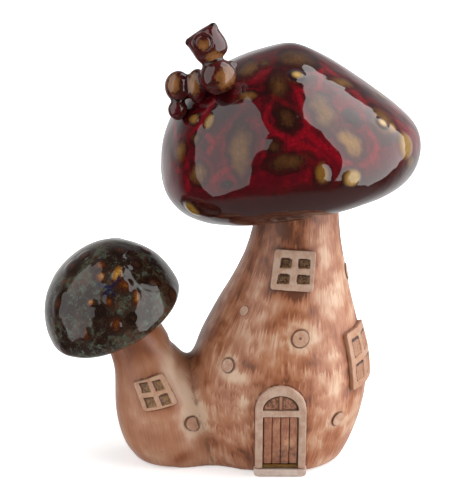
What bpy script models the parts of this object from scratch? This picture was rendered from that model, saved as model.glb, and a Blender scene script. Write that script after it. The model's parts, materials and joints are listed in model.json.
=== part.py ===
"""Porcelain mushroom house: a large and a small mushroom, slip cast in porcelain and glazed.

Metres, +Z up. The door faces -Y and the small mushroom leans out to -X. Both stems and both caps are
hollow casts. Each cap rests on the flat top of its stem's neck and is kept in place by a spigot that stands
up through the hole in the cap's floor. The small stem is cut to a saddle where it joins the large one. The
door, windows, knots, cap spots and grub are solid pieces of clay luted on with slip, and the back of
each follows the surface that it sits on.
"""

import math
from dataclasses import dataclass

import bmesh
import bpy
import numpy as np
from mathutils import Matrix, Vector

MM = 0.001

# Clearance between two pieces that touch
GAP = 0.3 * MM

# Large stem, in millimetres: (height, outer radius) and (height, shift of the axis towards +X)
LARGE_RADII = ((0, 30), (5, 32.8), (12, 35.7), (22, 38.7), (36, 40.7), (52, 39), (68, 33.2), (84, 27.1),
               (100, 22.1), (116.7, 19.1))
LARGE_SHIFTS = ((0, 0.6), (30, 1.2), (60, 2.6), (90, 6.6), (116.7, 9.2))
LARGE_NECK_HEIGHT = 116.7 * MM
LARGE_BEND_HEIGHT = 70 * MM
LARGE_WALL = 4 * MM
LARGE_SPIGOT_RADIUS = 14.5 * MM
LARGE_DRAIN_RADIUS = 7 * MM

# Small stem, in millimetres
SMALL_FOOT_X = -49 * MM
SMALL_FOOT_Y = -6.5 * MM
SMALL_RADII = ((0, 17.2), (3, 19), (9, 21), (20, 21.7), (34, 19.6), (50, 15.8), (66, 13.6))
SMALL_SHIFTS = ((0, 2.4), (8, 0), (22, -3), (44, -8), (66, -17.8))
SMALL_NECK_HEIGHT = 66 * MM
SMALL_BEND_HEIGHT = 30 * MM
SMALL_WALL = 3.5 * MM
SMALL_SPIGOT_RADIUS = 9.6 * MM
SMALL_DRAIN_RADIUS = 4 * MM

# How far the middle of a rounded corner stays from its two sides, as a share of the rounding
CORNER_SHARE = 1 - math.sqrt(0.5)

# Foot and neck of both stems
FLOOR = 5 * MM
FOOT_ROUNDING = 1.6 * MM
FOOT_RING_WIDTH = 8 * MM
FOOT_RECESS = 1 * MM
SPIGOT_HEIGHT = 6 * MM
SPIGOT_WALL = 3 * MM

# Large cap: how far its widest line reaches from the crown's axis, and its heights above the floor
LARGE_REACH_RIGHT = 54.5 * MM
LARGE_REACH_LEFT = 63.5 * MM
LARGE_CROWN_HEIGHT = 74.7 * MM
LARGE_WAIST_HEIGHT = 22.8 * MM
LARGE_LIP_ROLL = 24.8 * MM
LARGE_SLOPE_RIGHT = 1.5
LARGE_SLOPE_LEFT = 0.93
LARGE_CROWN_OFFSET = 5.6 * MM
LARGE_TILT_LEFT = 9.5
LARGE_TILT_FORWARD = -7.4
LARGE_CAP_WALL = 4.5 * MM

# Small cap
SMALL_REACH_RIGHT = 27.6 * MM
SMALL_REACH_LEFT = 36.6 * MM
SMALL_CROWN_HEIGHT = 39.8 * MM
SMALL_WAIST_HEIGHT = 7.8 * MM
SMALL_LIP_ROLL = 12.3 * MM
SMALL_SLOPE_RIGHT = 1.05
SMALL_SLOPE_LEFT = 0.97
SMALL_CROWN_OFFSET = 0.6 * MM
SMALL_TILT_LEFT = 23.8
SMALL_TILT_FORWARD = 11
SMALL_CAP_WALL = 3.5 * MM

# Powers of the caps' curves: 1 is an ellipse. The slope's power fades out at the crown and the widest line
SLOPE_FADE = 0.6
LIP_POWER_RIGHT = 0.98

# Door, drawn as it looks from the front: across from its middle, up from the floor and out of the stem
DOOR_X = 1.7 * MM
DOOR_HALF_WIDTH = 11.4 * MM
DOOR_TOP = 47 * MM
DOOR_BAND = 3.4 * MM
DOOR_PROUD = 2 * MM
DOOR_DEPTH = 3 * MM
LEAF_TOP = 32.7 * MM
LEAF_FOOT = 7.4 * MM
LEAF_PROUD = 1.1 * MM
PLANK_WIDTH = 3.75 * MM
PLANK_GROOVE = 0.5 * MM
LIGHT_FOOT = 35.7 * MM
LIGHT_RISE = 7 * MM
LIGHT_PROUD = 1 * MM
MULLION_WIDTH = 2.1 * MM
MULLION_PROUD = 1.6 * MM
SILL_PROUD = 1.4 * MM
STEP_HEIGHT = 4.6 * MM
STEP_PROUD = 2.9 * MM
STEP_ROUNDING = 2 * MM
STEP_OVERHANG = 0.6 * MM

# Windows
WINDOW_DEPTH = 4 * MM
WINDOW_ROUNDING = 1.2 * MM
PANE_ROUNDING = 0.8 * MM
PANE_DRAFT = 0.25 * MM
WINDOW_BEND_STEP = 7 * MM

# Knots, like the marks that cut branches leave
KNOT_PROUD = 0.9 * MM
KNOT_GROOVE = 0.6 * MM

# Spots on the caps
SPOT_PROUD = 1.3 * MM

# Depth of knots and spots behind the surface, before their backs are cut to it
SPRIG_DEPTH = 2 * MM

# Knots: height in millimetres, bearing in degrees and radius in millimetres
KNOTS = {
    "knot_brow": (66.5, 12, 4.2),
    "knot_left": (53, -38, 4),
    "knot_right": (26.8, 42, 3.6),
    "knot_high_left": (76.2, -40, 3.4),
    "knot_high_right": (87, 84, 3.8),
    "knot_small_stem": (22.2, 39, 3.7),
}

# Spots: bearing and latitude in degrees, then half width across and upward in millimetres
LARGE_SPOTS = {
    "spot_crown": (8, 53, 3.6, 3.6),
    "spot_right": (47, 21, 3.4, 3.4),
    "spot_edge": (56.5, 2, 4, 5.6),
    "spot_low_right": (21.5, -15, 4, 4),
    "spot_low": (8, -3, 2.8, 2.8),
    "spot_low_left": (-58, -30, 3.4, 3.4),
    "spot_left": (-43, 31, 2.6, 3.8),
    "spot_back_left": (-128, 34, 3.8, 3.8),
    "spot_back": (172, 12, 3.6, 4.2),
    "spot_back_right": (122, 40, 3.6, 3.6),
}
SMALL_SPOTS = {
    "spot_small_low": (-1, 15, 2.6, 2.6),
    "spot_small_left": (-14.5, 38, 2.8, 2.8),
    "spot_small_right": (27.5, 25, 2.8, 2.8),
    "spot_small_back": (168, 34, 2.8, 2.8),
}

# Grub: where its chest sits on the large cap, and how far its head leans to the left
CHEST_BEARING = -44.5
CHEST_LATITUDE = 50
HEAD_LEAN = 33
HEAD_CORNER_POWER = 5
CHIN_POWER = 2
NOSE_RADIUS = 3.3 * MM
NOSE_PROUD = 0.9 * MM
NOSE_X = -1.2 * MM
NOSE_Z = 0.9 * MM
NOSE_FACING = Vector((-0.1, -1, -0.05))
HORN_RADII = (1.6, 1.5, 1.8)
HORN_X = 6.7 * MM
HORN_Z = 5.9 * MM
HORN_SPREAD = 45

# Lumps of the grub in millimetres: the middle, from the point of the cap under its chest, and half widths
HEAD = ((-6.6, 0.3, 17.7), (7.7, 7.2, 7.6))
LUMPS = {
    "grub_chest": ((-2.4, -1.7, 4.3), (8, 7.6, 8)),
    "grub_middle": ((-12.2, 4.3, -1.1), (5.2, 5.8, 7.6)),
    "grub_rear": ((-20.4, 5.3, -1.5), (5.4, 5.6, 7)),
    "grub_tail": ((-20, 2.3, -11.3), (4.3, 4.3, 4.3)),
    "grub_arm": ((3.7, 0.3, 8.6), (2.4, 2.2, 2.2)),
}

# Facets
LARGE_SEGMENTS = 36
SMALL_SEGMENTS = 26
OUTER_STEM_RINGS = 14
INNER_STEM_RINGS = 7
OUTER_DOME_RINGS = 10
OUTER_LIP_RINGS = 4
INNER_DOME_RINGS = 7
INNER_LIP_RINGS = 3
SPRIG_SEGMENTS = 14
BALL_SEGMENTS = 14
BALL_RINGS = 8
ARCH_STEPS = 12
BEND_STEP = 4.5 * MM

# Finishes: colour and roughness
STEM_CLAY = ((0.6, 0.42, 0.28), 0.45)
CREAM_CLAY = ((0.62, 0.5, 0.4), 0.4)
KNOT_CLAY = ((0.55, 0.36, 0.24), 0.45)
DOOR_STAIN = ((0.36, 0.17, 0.1), 0.5)
AMBER_GLAZE = ((0.3, 0.12, 0.02), 0.2)
RED_GLAZE = ((0.16, 0.01, 0.015), 0.1)
GREEN_GLAZE = ((0.04, 0.05, 0.03), 0.12)
OCHRE_GLAZE = ((0.3, 0.16, 0.04), 0.12)
DARK_GLAZE = ((0.05, 0.02, 0.01), 0.12)


def smooth_value(stops, place):
    """Value at a place on the smooth curve through (place, value) stops."""
    places = np.array([stop[0] for stop in stops], float)
    values = np.array([stop[1] for stop in stops], float)
    slopes = np.empty(len(stops))
    slopes[1:-1] = (values[2:] - values[:-2]) / (places[2:] - places[:-2])
    slopes[0] = (values[1] - values[0]) / (places[1] - places[0])
    slopes[-1] = (values[-1] - values[-2]) / (places[-1] - places[-2])
    index = int(np.clip(np.searchsorted(places, place) - 1, 0, len(stops) - 2))
    span = places[index + 1] - places[index]
    t = (place - places[index]) / span
    if not 0 <= t <= 1:
        end = index if t < 0 else index + 1
        return float(values[end] + slopes[end] * (place - places[end]))
    start_part = values[index] * (2 * t**3 - 3 * t**2 + 1) + slopes[index] * span * (t**3 - 2 * t**2 + t)
    end_part = values[index + 1] * (3 * t**2 - 2 * t**3) + slopes[index + 1] * span * (t**3 - t**2)
    return float(start_part + end_part)


def smooth_step(share):
    """A share from 0 to 1 that starts and ends gently."""
    share = min(max(share, 0), 1)
    return share * share * (3 - 2 * share)


def tilt_matrix(left, forward):
    """Turn that tips the top towards -X and towards -Y, by degrees."""
    return Matrix.Rotation(math.radians(-left), 4, "Y") @ Matrix.Rotation(math.radians(forward), 4, "X")


def seat_matrix(point, outward, upward):
    """Frame on a surface: Z points out of it and Y up it."""
    side = upward.cross(outward).normalized()
    up = outward.cross(side).normalized()
    matrix = Matrix((side, up, outward)).transposed().to_4x4()
    matrix.translation = point
    return matrix


@dataclass(frozen=True)
class Stem:
    """A hollow stem: round rings along a leaning axis, the top ones tipped to the slope of the cap."""

    foot_x: float
    foot_y: float
    radii: tuple
    shifts: tuple
    neck_height: float
    bend_height: float
    tilt_left: float
    tilt_forward: float
    wall: float
    spigot_radius: float
    drain_radius: float
    segments: int

    def radius(self, height):
        """Outer radius at a height."""
        return smooth_value(self.radii, height / MM) * MM

    def frame(self, height):
        """Frame of the ring at a height on the axis."""
        share = smooth_step((height - self.bend_height) / (self.neck_height - self.bend_height))
        shift = smooth_value(self.shifts, height / MM) * MM
        place = Matrix.Translation((self.foot_x + shift, self.foot_y, height))
        return place @ tilt_matrix(self.tilt_left * share, self.tilt_forward * share)

    def ring(self, height, radius, rise=0.0):
        """Points of a ring of a given radius, raised along its own axis."""
        frame = self.frame(height)
        angles = [2 * math.pi * i / self.segments for i in range(self.segments)]
        return [frame @ Vector((radius * math.cos(a), radius * math.sin(a), rise)) for a in angles]

    def point(self, height, bearing, proud=0.0):
        """Point on the surface. The bearing is 0 in front and 90 degrees on the right."""
        angle = math.radians(bearing)
        reach = self.radius(height) + proud
        return self.frame(height) @ Vector((reach * math.sin(angle), -reach * math.cos(angle), 0))

    def seat(self, height, bearing):
        """Frame on the surface at a height and a bearing."""
        step = 0.5
        across = self.point(height, bearing + step) - self.point(height, bearing - step)
        upward = self.point(height + step * MM, bearing) - self.point(height - step * MM, bearing)
        outward = across.cross(upward).normalized()
        return seat_matrix(self.point(height, bearing), outward, upward)

    def shell_rings(self):
        """Rings round the whole skin: under the foot, up the outside, over the spigot, down the inside."""
        neck = self.neck_height
        foot_radius = self.radius(0)
        ring_radius = foot_radius - FOOT_RING_WIDTH
        rings = [
            self.ring(FOOT_RECESS, self.drain_radius),
            self.ring(FOOT_RECESS, ring_radius - FOOT_RECESS),
            self.ring(0, ring_radius),
            self.ring(0, foot_radius - FOOT_ROUNDING),
            self.ring(CORNER_SHARE * FOOT_ROUNDING, foot_radius - CORNER_SHARE * FOOT_ROUNDING),
        ]
        outside = np.linspace(FOOT_ROUNDING, neck, OUTER_STEM_RINGS)
        rings += [self.ring(height, self.radius(height)) for height in outside]
        spigot_bore = self.spigot_radius - SPIGOT_WALL
        rings += [
            self.ring(neck, self.spigot_radius),
            self.ring(neck, self.spigot_radius, SPIGOT_HEIGHT),
            self.ring(neck, spigot_bore, SPIGOT_HEIGHT),
            self.ring(neck, spigot_bore, -self.wall),
        ]
        inside = np.linspace(neck - 2.5 * self.wall, FLOOR, INNER_STEM_RINGS)
        rings += [self.ring(height, self.radius(height) - self.wall) for height in inside]
        rings.append(self.ring(FLOOR, self.drain_radius))
        return rings

    def solid_rings(self, proud):
        """Rings of the plain outer form grown by an allowance, from below the floor to the neck."""
        below = -FLOOR
        heights = np.linspace(0, self.neck_height, OUTER_STEM_RINGS)
        rings = [self.ring(0, self.radius(0) + proud, below)]
        rings += [self.ring(height, self.radius(height) + proud) for height in heights]
        return rings


@dataclass(frozen=True)
class Cap:
    """A hollow cap: a lopsided dome over a rolled lip and a flat floor with a round hole for the spigot."""

    seat: Matrix
    crown_offset: float
    reach_right: float
    reach_left: float
    crown_height: float
    waist_height: float
    lip_roll: float
    slope_right: float
    slope_left: float
    wall: float
    hole_radius: float
    segments: int

    def frame(self):
        """Frame with its origin in the floor, under the crown."""
        return self.seat @ Matrix.Translation((self.crown_offset, 0, 0))

    def share_left(self, angle):
        """0 on the right of the crown and 1 on its left."""
        return (1 - math.cos(angle)) / 2

    def reach(self, angle):
        """Distance of the widest line from the crown's axis."""
        return self.reach_right + (self.reach_left - self.reach_right) * self.share_left(angle)

    def dome_point(self, angle, latitude, proud=0.0):
        """Point on the dome. The latitude is 0 on the widest line and 90 degrees on the crown."""
        slope = self.slope_right + (self.slope_left - self.slope_right) * self.share_left(angle)
        t = math.radians(latitude)
        power = 1 + (slope - 1) * max(math.sin(2 * t), 0) ** SLOPE_FADE
        radius = (self.reach(angle) + proud) * max(math.cos(t), 0) ** power
        rise = (self.crown_height - self.waist_height + proud) * max(math.sin(t), 0) ** power
        height = self.waist_height + rise
        return self.frame() @ Vector((radius * math.cos(angle), radius * math.sin(angle), height))

    def lip_point(self, angle, share, proud=0.0):
        """Point on the rolled lip, from the widest line (0) to the floor (1)."""
        t = math.pi / 2 * share
        power = LIP_POWER_RIGHT + (1 - LIP_POWER_RIGHT) * self.share_left(angle)
        roll = self.lip_roll + proud
        radius = self.reach(angle) + proud - roll * (1 - max(math.cos(t), 0) ** power)
        height = self.waist_height - (self.waist_height + proud) * math.sin(t) ** power
        return self.frame() @ Vector((radius * math.cos(angle), radius * math.sin(angle), height))

    def angles(self):
        """Angles of the facets' corners round the crown."""
        return [2 * math.pi * i / self.segments for i in range(self.segments)]

    def hole_ring(self, radius, height):
        """Ring round the spigot's axis."""
        circle = [(radius * math.cos(a), radius * math.sin(a)) for a in self.angles()]
        return [self.seat @ Vector((x, y, height)) for x, y in circle]

    def dome_rings(self, count, proud=0.0):
        """The crown's point, then rings down to the widest line."""
        latitudes = np.linspace(90, 0, count + 1)[1:]
        rings = [[self.dome_point(0, 90, proud)]]
        rings += [[self.dome_point(a, latitude, proud) for a in self.angles()] for latitude in latitudes]
        return rings

    def lip_rings(self, count, proud=0.0):
        """Rings from below the widest line to the edge of the floor."""
        shares = np.linspace(0, 1, count + 1)[1:]
        return [[self.lip_point(a, share, proud) for a in self.angles()] for share in shares]

    def shell_rings(self):
        """Rings round the whole skin: down the outside, in to the hole, through it and up the inside."""
        rings = self.dome_rings(OUTER_DOME_RINGS) + self.lip_rings(OUTER_LIP_RINGS)
        rings.append(self.hole_ring(self.hole_radius, 0))
        rings.append(self.hole_ring(self.hole_radius, self.wall))
        rings += self.lip_rings(INNER_LIP_RINGS, -self.wall)[::-1]
        rings += self.dome_rings(INNER_DOME_RINGS, -self.wall)[::-1]
        return rings

    def solid_rings(self, proud):
        """Rings of the plain outer form grown by an allowance."""
        return self.dome_rings(OUTER_DOME_RINGS, proud) + self.lip_rings(OUTER_LIP_RINGS, proud)

    def skin_point(self, bearing, latitude):
        """Point on the dome, or on the lip where the latitude is below 0. Bearing 0 is in front."""
        angle = math.radians(bearing - 90)
        if latitude < 0:
            return self.lip_point(angle, -latitude / 90)
        return self.dome_point(angle, latitude)

    def spot_seat(self, bearing, latitude):
        """Frame on the skin at a bearing, which is 90 degrees on the right, and a latitude."""
        step = 0.5
        across = self.skin_point(bearing + step, latitude) - self.skin_point(bearing - step, latitude)
        upward = self.skin_point(bearing, latitude + step) - self.skin_point(bearing, latitude - step)
        outward = across.cross(upward).normalized()
        return seat_matrix(self.skin_point(bearing, latitude), outward, upward)


LARGE_STEM = Stem(0, 0, LARGE_RADII, LARGE_SHIFTS, LARGE_NECK_HEIGHT, LARGE_BEND_HEIGHT, LARGE_TILT_LEFT,
                  LARGE_TILT_FORWARD, LARGE_WALL, LARGE_SPIGOT_RADIUS, LARGE_DRAIN_RADIUS, LARGE_SEGMENTS)
SMALL_STEM = Stem(SMALL_FOOT_X, SMALL_FOOT_Y, SMALL_RADII, SMALL_SHIFTS, SMALL_NECK_HEIGHT,
                  SMALL_BEND_HEIGHT, SMALL_TILT_LEFT, SMALL_TILT_FORWARD, SMALL_WALL, SMALL_SPIGOT_RADIUS,
                  SMALL_DRAIN_RADIUS, SMALL_SEGMENTS)
LARGE_CAP = Cap(LARGE_STEM.frame(LARGE_NECK_HEIGHT) @ Matrix.Translation((0, 0, GAP)), LARGE_CROWN_OFFSET,
                LARGE_REACH_RIGHT, LARGE_REACH_LEFT, LARGE_CROWN_HEIGHT, LARGE_WAIST_HEIGHT, LARGE_LIP_ROLL,
                LARGE_SLOPE_RIGHT, LARGE_SLOPE_LEFT, LARGE_CAP_WALL, LARGE_SPIGOT_RADIUS + GAP,
                LARGE_SEGMENTS)
SMALL_CAP = Cap(SMALL_STEM.frame(SMALL_NECK_HEIGHT) @ Matrix.Translation((0, 0, GAP)), SMALL_CROWN_OFFSET,
                SMALL_REACH_RIGHT, SMALL_REACH_LEFT, SMALL_CROWN_HEIGHT, SMALL_WAIST_HEIGHT, SMALL_LIP_ROLL,
                SMALL_SLOPE_RIGHT, SMALL_SLOPE_LEFT, SMALL_CAP_WALL, SMALL_SPIGOT_RADIUS + GAP,
                SMALL_SEGMENTS)


def clear_scene():
    """Removes every object of the scene."""
    for found in list(bpy.data.objects):
        bpy.data.objects.remove(found, do_unlink=True)


def finish_mesh(name, bm):
    """Turns a closed bmesh's faces outwards and makes it a smooth mesh."""
    bmesh.ops.recalc_face_normals(bm, faces=bm.faces)
    if bm.calc_volume(signed=True) < 0:
        bmesh.ops.reverse_faces(bm, faces=bm.faces)
    mesh = bpy.data.meshes.new(name)
    bm.to_mesh(mesh)
    bm.free()
    mesh.shade_smooth()
    mesh.set_sharp_from_angle(angle=math.radians(40))
    return mesh


def loft(name, rings, closed=False):
    """Closed skin through rings of equally many points. A ring of one point is a pole."""
    bm = bmesh.new()
    rows = [[bm.verts.new(point) for point in ring] for ring in rings]
    pairs = list(zip(rows, rows[1:]))
    if closed:
        pairs.append((rows[-1], rows[0]))
    for low, high in pairs:
        count = max(len(low), len(high))
        for i in range(count):
            j = (i + 1) % count
            corners = [low[i % len(low)], low[j % len(low)], high[j % len(high)], high[i % len(high)]]
            bm.faces.new(list(dict.fromkeys(corners)))
    if not closed:
        for row in (rows[0], rows[-1]):
            if len(row) > 1:
                bm.faces.new(row)
    return finish_mesh(name, bm)


def turned(name, profile, across, upward):
    """A small round or oval form about Z, from its back to its crown, as (share of radius, height)."""
    rings = []
    for share, height in profile:
        if share == 0:
            rings.append([Vector((0, 0, height))])
            continue
        angles = [2 * math.pi * i / SPRIG_SEGMENTS for i in range(SPRIG_SEGMENTS)]
        wide, high = across * share, upward * share
        rings.append([Vector((wide * math.cos(a), high * math.sin(a), height)) for a in angles])
    return loft(name, rings)


def knot_mesh(name, radius):
    """A flat disc with a ring groove inside its edge and a raised middle."""
    groove = KNOT_PROUD - KNOT_GROOVE
    profile = ((1, -SPRIG_DEPTH), (1, 0.5 * KNOT_PROUD), (0.9, KNOT_PROUD), (0.78, KNOT_PROUD),
               (0.65, groove), (0.5, KNOT_PROUD), (0, 1.1 * KNOT_PROUD))
    return turned(name, profile, radius, radius)


def spot_mesh(name, across, upward):
    """A low round or oval button."""
    profile = ((1, -SPRIG_DEPTH), (1, 0.2 * SPOT_PROUD), (0.6, 0.85 * SPOT_PROUD), (0, SPOT_PROUD))
    return turned(name, profile, across, upward)


@dataclass(frozen=True)
class Ball:
    """A rounded lump of clay: its middle, half widths, lean, and how square its upper half is."""

    centre: Vector
    radii: tuple
    lean: float = 0.0
    corner_power: float = CHIN_POWER

    def frame(self):
        """Frame at the middle, tipped to the left by the lean."""
        return Matrix.Translation(self.centre) @ tilt_matrix(self.lean, 0)

    def point(self, angle, latitude, proud=0.0):
        """Point on the skin. The angle turns round Z and the latitude is 90 degrees on the top."""
        t = math.radians(latitude)
        way = Vector((math.cos(t) * math.cos(angle), math.cos(t) * math.sin(angle), math.sin(t)))
        power = self.corner_power if way.z > 0 else CHIN_POWER
        face = (abs(way.x) ** power + abs(way.z) ** power) ** (1 / power)
        way /= math.hypot(face, way.y)
        grown = [radius + proud for radius in self.radii]
        return self.frame() @ Vector((way.x * grown[0], way.y * grown[1], way.z * grown[2]))

    def mesh(self, name, proud=0.0):
        """The lump, grown by an allowance."""
        rings = [[self.point(0, 90, proud)]]
        for latitude in np.linspace(90, -90, BALL_RINGS + 1)[1:-1]:
            angles = [2 * math.pi * i / BALL_SEGMENTS for i in range(BALL_SEGMENTS)]
            rings.append([self.point(angle, latitude, proud) for angle in angles])
        rings.append([self.point(0, -90, proud)])
        return loft(name, rings)


def side_bars(length, pane, bar):
    """Stops along one side of a window of two panes with a bar between them."""
    middle = bar / 2
    return [-length / 2, -middle - pane, -middle, middle, middle + pane, length / 2]


@dataclass(frozen=True)
class Window:
    """A clay slab with four sunk panes, pressed on a stem at a height and a bearing."""

    stem: Stem
    height: float
    bearing: float
    turn: float
    width: float
    tall: float
    pane_width: float
    pane_height: float
    bar: float
    proud: float
    recess: float
    flatness: float

    def place(self, point, seat):
        """Where a point of the flat slab goes: between flat on the seat and bent round the stem."""
        turned_point = Matrix.Rotation(math.radians(self.turn), 3, "Z") @ point
        radius = self.stem.radius(self.height)
        height = self.height + turned_point.y * seat.col[1].z
        bearing = self.bearing + math.degrees(turned_point.x / radius)
        bent = self.stem.seat(height, bearing) @ Vector((0, 0, point.z))
        return bent.lerp(seat @ turned_point, self.flatness)

    def mesh(self, name):
        """The slab with its panes, rounded corners and deep back."""
        across = side_bars(self.width, self.pane_width, self.bar)
        upward = side_bars(self.tall, self.pane_height, self.bar)
        bm = bmesh.new()
        rows = [[bm.verts.new((x, y, self.proud)) for x in across] for y in upward]
        cells = {}
        for j in range(len(upward) - 1):
            for i in range(len(across) - 1):
                corners = (rows[j][i], rows[j][i + 1], rows[j + 1][i + 1], rows[j + 1][i])
                cells[i, j] = bm.faces.new(corners)
        edge = [e for e in bm.edges if e.is_boundary]
        rim = bmesh.ops.extrude_edge_only(bm, edges=edge)["geom"]
        low = [v for v in rim if isinstance(v, bmesh.types.BMVert)]
        for vert in low:
            vert.co.z = -WINDOW_DEPTH
        bmesh.ops.contextual_create(bm, geom=[e for e in rim if isinstance(e, bmesh.types.BMEdge)])
        corners = [e for e in bm.edges if self.is_corner(e)]
        bmesh.ops.bevel(bm, geom=corners, affect="EDGES", offset=WINDOW_ROUNDING, segments=2, profile=0.5,
                        material=-1)
        panes = [cells[i, j] for i in (1, 3) for j in (1, 3)]
        bmesh.ops.inset_individual(bm, faces=panes, thickness=PANE_DRAFT, depth=-self.recess)
        walls = [e for e in bm.edges if self.is_pane_corner(e)]
        bmesh.ops.bevel(bm, geom=walls, affect="EDGES", offset=PANE_ROUNDING, segments=2, profile=0.5,
                        material=-1)
        self.split(bm)
        seat = self.stem.seat(self.height, self.bearing)
        for vert in bm.verts:
            vert.co = self.place(vert.co, seat)
        return finish_mesh(name, bm)

    def is_corner(self, edge):
        """Whether an edge is one of the slab's four upright corners."""
        ends = [v.co for v in edge.verts]
        upright = abs(ends[0].z - ends[1].z) > self.recess
        outer = all(abs(abs(end.x) - self.width / 2) < GAP / 10 for end in ends)
        return upright and outer and all(abs(abs(end.y) - self.tall / 2) < GAP / 10 for end in ends)

    def is_pane_corner(self, edge):
        """Whether an edge runs down a corner of a sunk pane."""
        low, high = sorted(v.co.z for v in edge.verts)
        return abs(high - self.proud) < GAP / 10 and abs(low - self.proud + self.recess) < GAP / 10

    def split(self, bm):
        """Cuts the slab across so that it can bend."""
        for axis, length in ((Vector((1, 0, 0)), self.width), (Vector((0, 1, 0)), self.tall)):
            count = round(length / WINDOW_BEND_STEP)
            for k in range(1, count):
                place = axis * (length * k / count - length / 2)
                geometry = bm.verts[:] + bm.edges[:] + bm.faces[:]
                bmesh.ops.bisect_plane(bm, geom=geometry, plane_co=place, plane_no=axis, dist=GAP / 100)


UPPER_WINDOW = Window(LARGE_STEM, height=93.6 * MM, bearing=1, turn=-1, width=18.6 * MM, tall=17.8 * MM,
                      pane_width=4.8 * MM, pane_height=4 * MM, bar=3 * MM, proud=2 * MM, recess=1.2 * MM,
                      flatness=0.8)
SIDE_WINDOW = Window(LARGE_STEM, height=51.8 * MM, bearing=70, turn=0, width=25.6 * MM, tall=26 * MM,
                     pane_width=8 * MM, pane_height=8 * MM, bar=3.2 * MM, proud=1.4 * MM, recess=0.7 * MM,
                     flatness=0.15)
SMALL_WINDOW = Window(SMALL_STEM, height=38 * MM, bearing=1, turn=17, width=15.6 * MM, tall=15.2 * MM,
                      pane_width=4.4 * MM, pane_height=4.6 * MM, bar=2.2 * MM, proud=1.2 * MM,
                      recess=0.5 * MM, flatness=0.2)


def arch_outline(half_width, foot, rise_from, rise):
    """Points up the left side, over an oval arch and down to the foot on the right."""
    points = [(-half_width, foot)]
    for k in range(ARCH_STEPS + 1):
        angle = math.pi * (1 - k / ARCH_STEPS)
        points.append((half_width * math.cos(angle), rise_from + rise * math.sin(angle)))
    points.append((half_width, foot))
    return points


def door_place(point):
    """Where a point of the door goes: across, up from the floor and out from the large stem's front."""
    reach = LARGE_STEM.radius(point.y) + point.z
    return Vector((DOOR_X + point.x, LARGE_STEM.foot_y - reach, point.y))


def bend_to_stem(name, bm):
    """Cuts a flat door piece across and bends it to the stem's front."""
    heights = [v.co.y for v in bm.verts]
    for k in range(1, int(DOOR_TOP / BEND_STEP) + 1):
        if min(heights) + GAP < k * BEND_STEP < max(heights) - GAP:
            geometry = bm.verts[:] + bm.edges[:] + bm.faces[:]
            bmesh.ops.bisect_plane(bm, geom=geometry, plane_co=(0, k * BEND_STEP, 0), plane_no=(0, 1, 0),
                                   dist=GAP / 100)
    for vert in bm.verts:
        vert.co = door_place(vert.co)
    return finish_mesh(name, bm)


def plate(name, outlines, proud):
    """A plate within an outline, and round the outlines of its openings, bent to the stem."""
    bm = bmesh.new()
    for outline in outlines:
        points = [bm.verts.new((x, y, proud)) for x, y in outline]
        for k, point in enumerate(points):
            bm.edges.new((point, points[(k + 1) % len(points)]))
    bmesh.ops.triangle_fill(bm, use_beauty=True, edges=bm.edges[:])
    front = bm.faces[:]
    grown = bmesh.ops.extrude_face_region(bm, geom=front, use_keep_orig=True)["geom"]
    for vert in [v for v in grown if isinstance(v, bmesh.types.BMVert)]:
        vert.co.z = -DOOR_DEPTH
    return bend_to_stem(name, bm)


def door_frame_mesh():
    """The arched frame with its transom bar, standing on the doorstep."""
    foot = STEP_HEIGHT + GAP
    inner = DOOR_HALF_WIDTH - DOOR_BAND
    outline = arch_outline(DOOR_HALF_WIDTH, foot, DOOR_TOP - DOOR_HALF_WIDTH, DOOR_HALF_WIDTH)
    outline += [(inner, foot), (inner, LEAF_TOP), (-inner, LEAF_TOP), (-inner, foot)]
    light = arch_outline(inner, LIGHT_FOOT, LIGHT_FOOT + GAP, LIGHT_RISE - GAP)
    return plate("door_frame", (outline, light), DOOR_PROUD)


def fanlight_meshes():
    """The half-round light over the door, and the upright bar in its middle."""
    inner = DOOR_HALF_WIDTH - DOOR_BAND - GAP
    outline = arch_outline(inner, LIGHT_FOOT + GAP, LIGHT_FOOT + 2 * GAP, LIGHT_RISE - 3 * GAP)
    half = MULLION_WIDTH / 2
    foot = LIGHT_FOOT + GAP
    top = LIGHT_FOOT + LIGHT_RISE - 1.5 * GAP
    bar = ((-half, foot), (-half, top), (half, top), (half, foot))
    return plate("fanlight", (outline,), LIGHT_PROUD), plate("mullion", (bar,), MULLION_PROUD)


def door_leaf_mesh():
    """The leaf of upright planks with a groove between each two."""
    half = DOOR_HALF_WIDTH - DOOR_BAND - GAP
    section = [(-half, -DOOR_DEPTH), (-half, LEAF_PROUD)]
    groove = -half + PLANK_WIDTH
    while groove < half - PLANK_GROOVE:
        section += [(groove - PLANK_GROOVE / 2, LEAF_PROUD), (groove, LEAF_PROUD - PLANK_GROOVE),
                    (groove + PLANK_GROOVE / 2, LEAF_PROUD)]
        groove += PLANK_WIDTH
    section += [(half, LEAF_PROUD), (half, -DOOR_DEPTH)]
    bm = bmesh.new()
    face = bm.faces.new([bm.verts.new((x, LEAF_FOOT, z)) for x, z in section])
    grown = bmesh.ops.extrude_face_region(bm, geom=[face], use_keep_orig=True)["geom"]
    for vert in [v for v in grown if isinstance(v, bmesh.types.BMVert)]:
        vert.co.y = LEAF_TOP - GAP
    return bend_to_stem("door_leaf", bm)


def sill_mesh():
    """The low threshold between the jambs, under the leaf."""
    half = DOOR_HALF_WIDTH - DOOR_BAND - GAP
    low = STEP_HEIGHT + GAP
    high = LEAF_FOOT - GAP
    outline = ((-half, low), (-half, high), (half, high), (half, low))
    return plate("door_sill", (outline,), SILL_PROUD)


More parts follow.
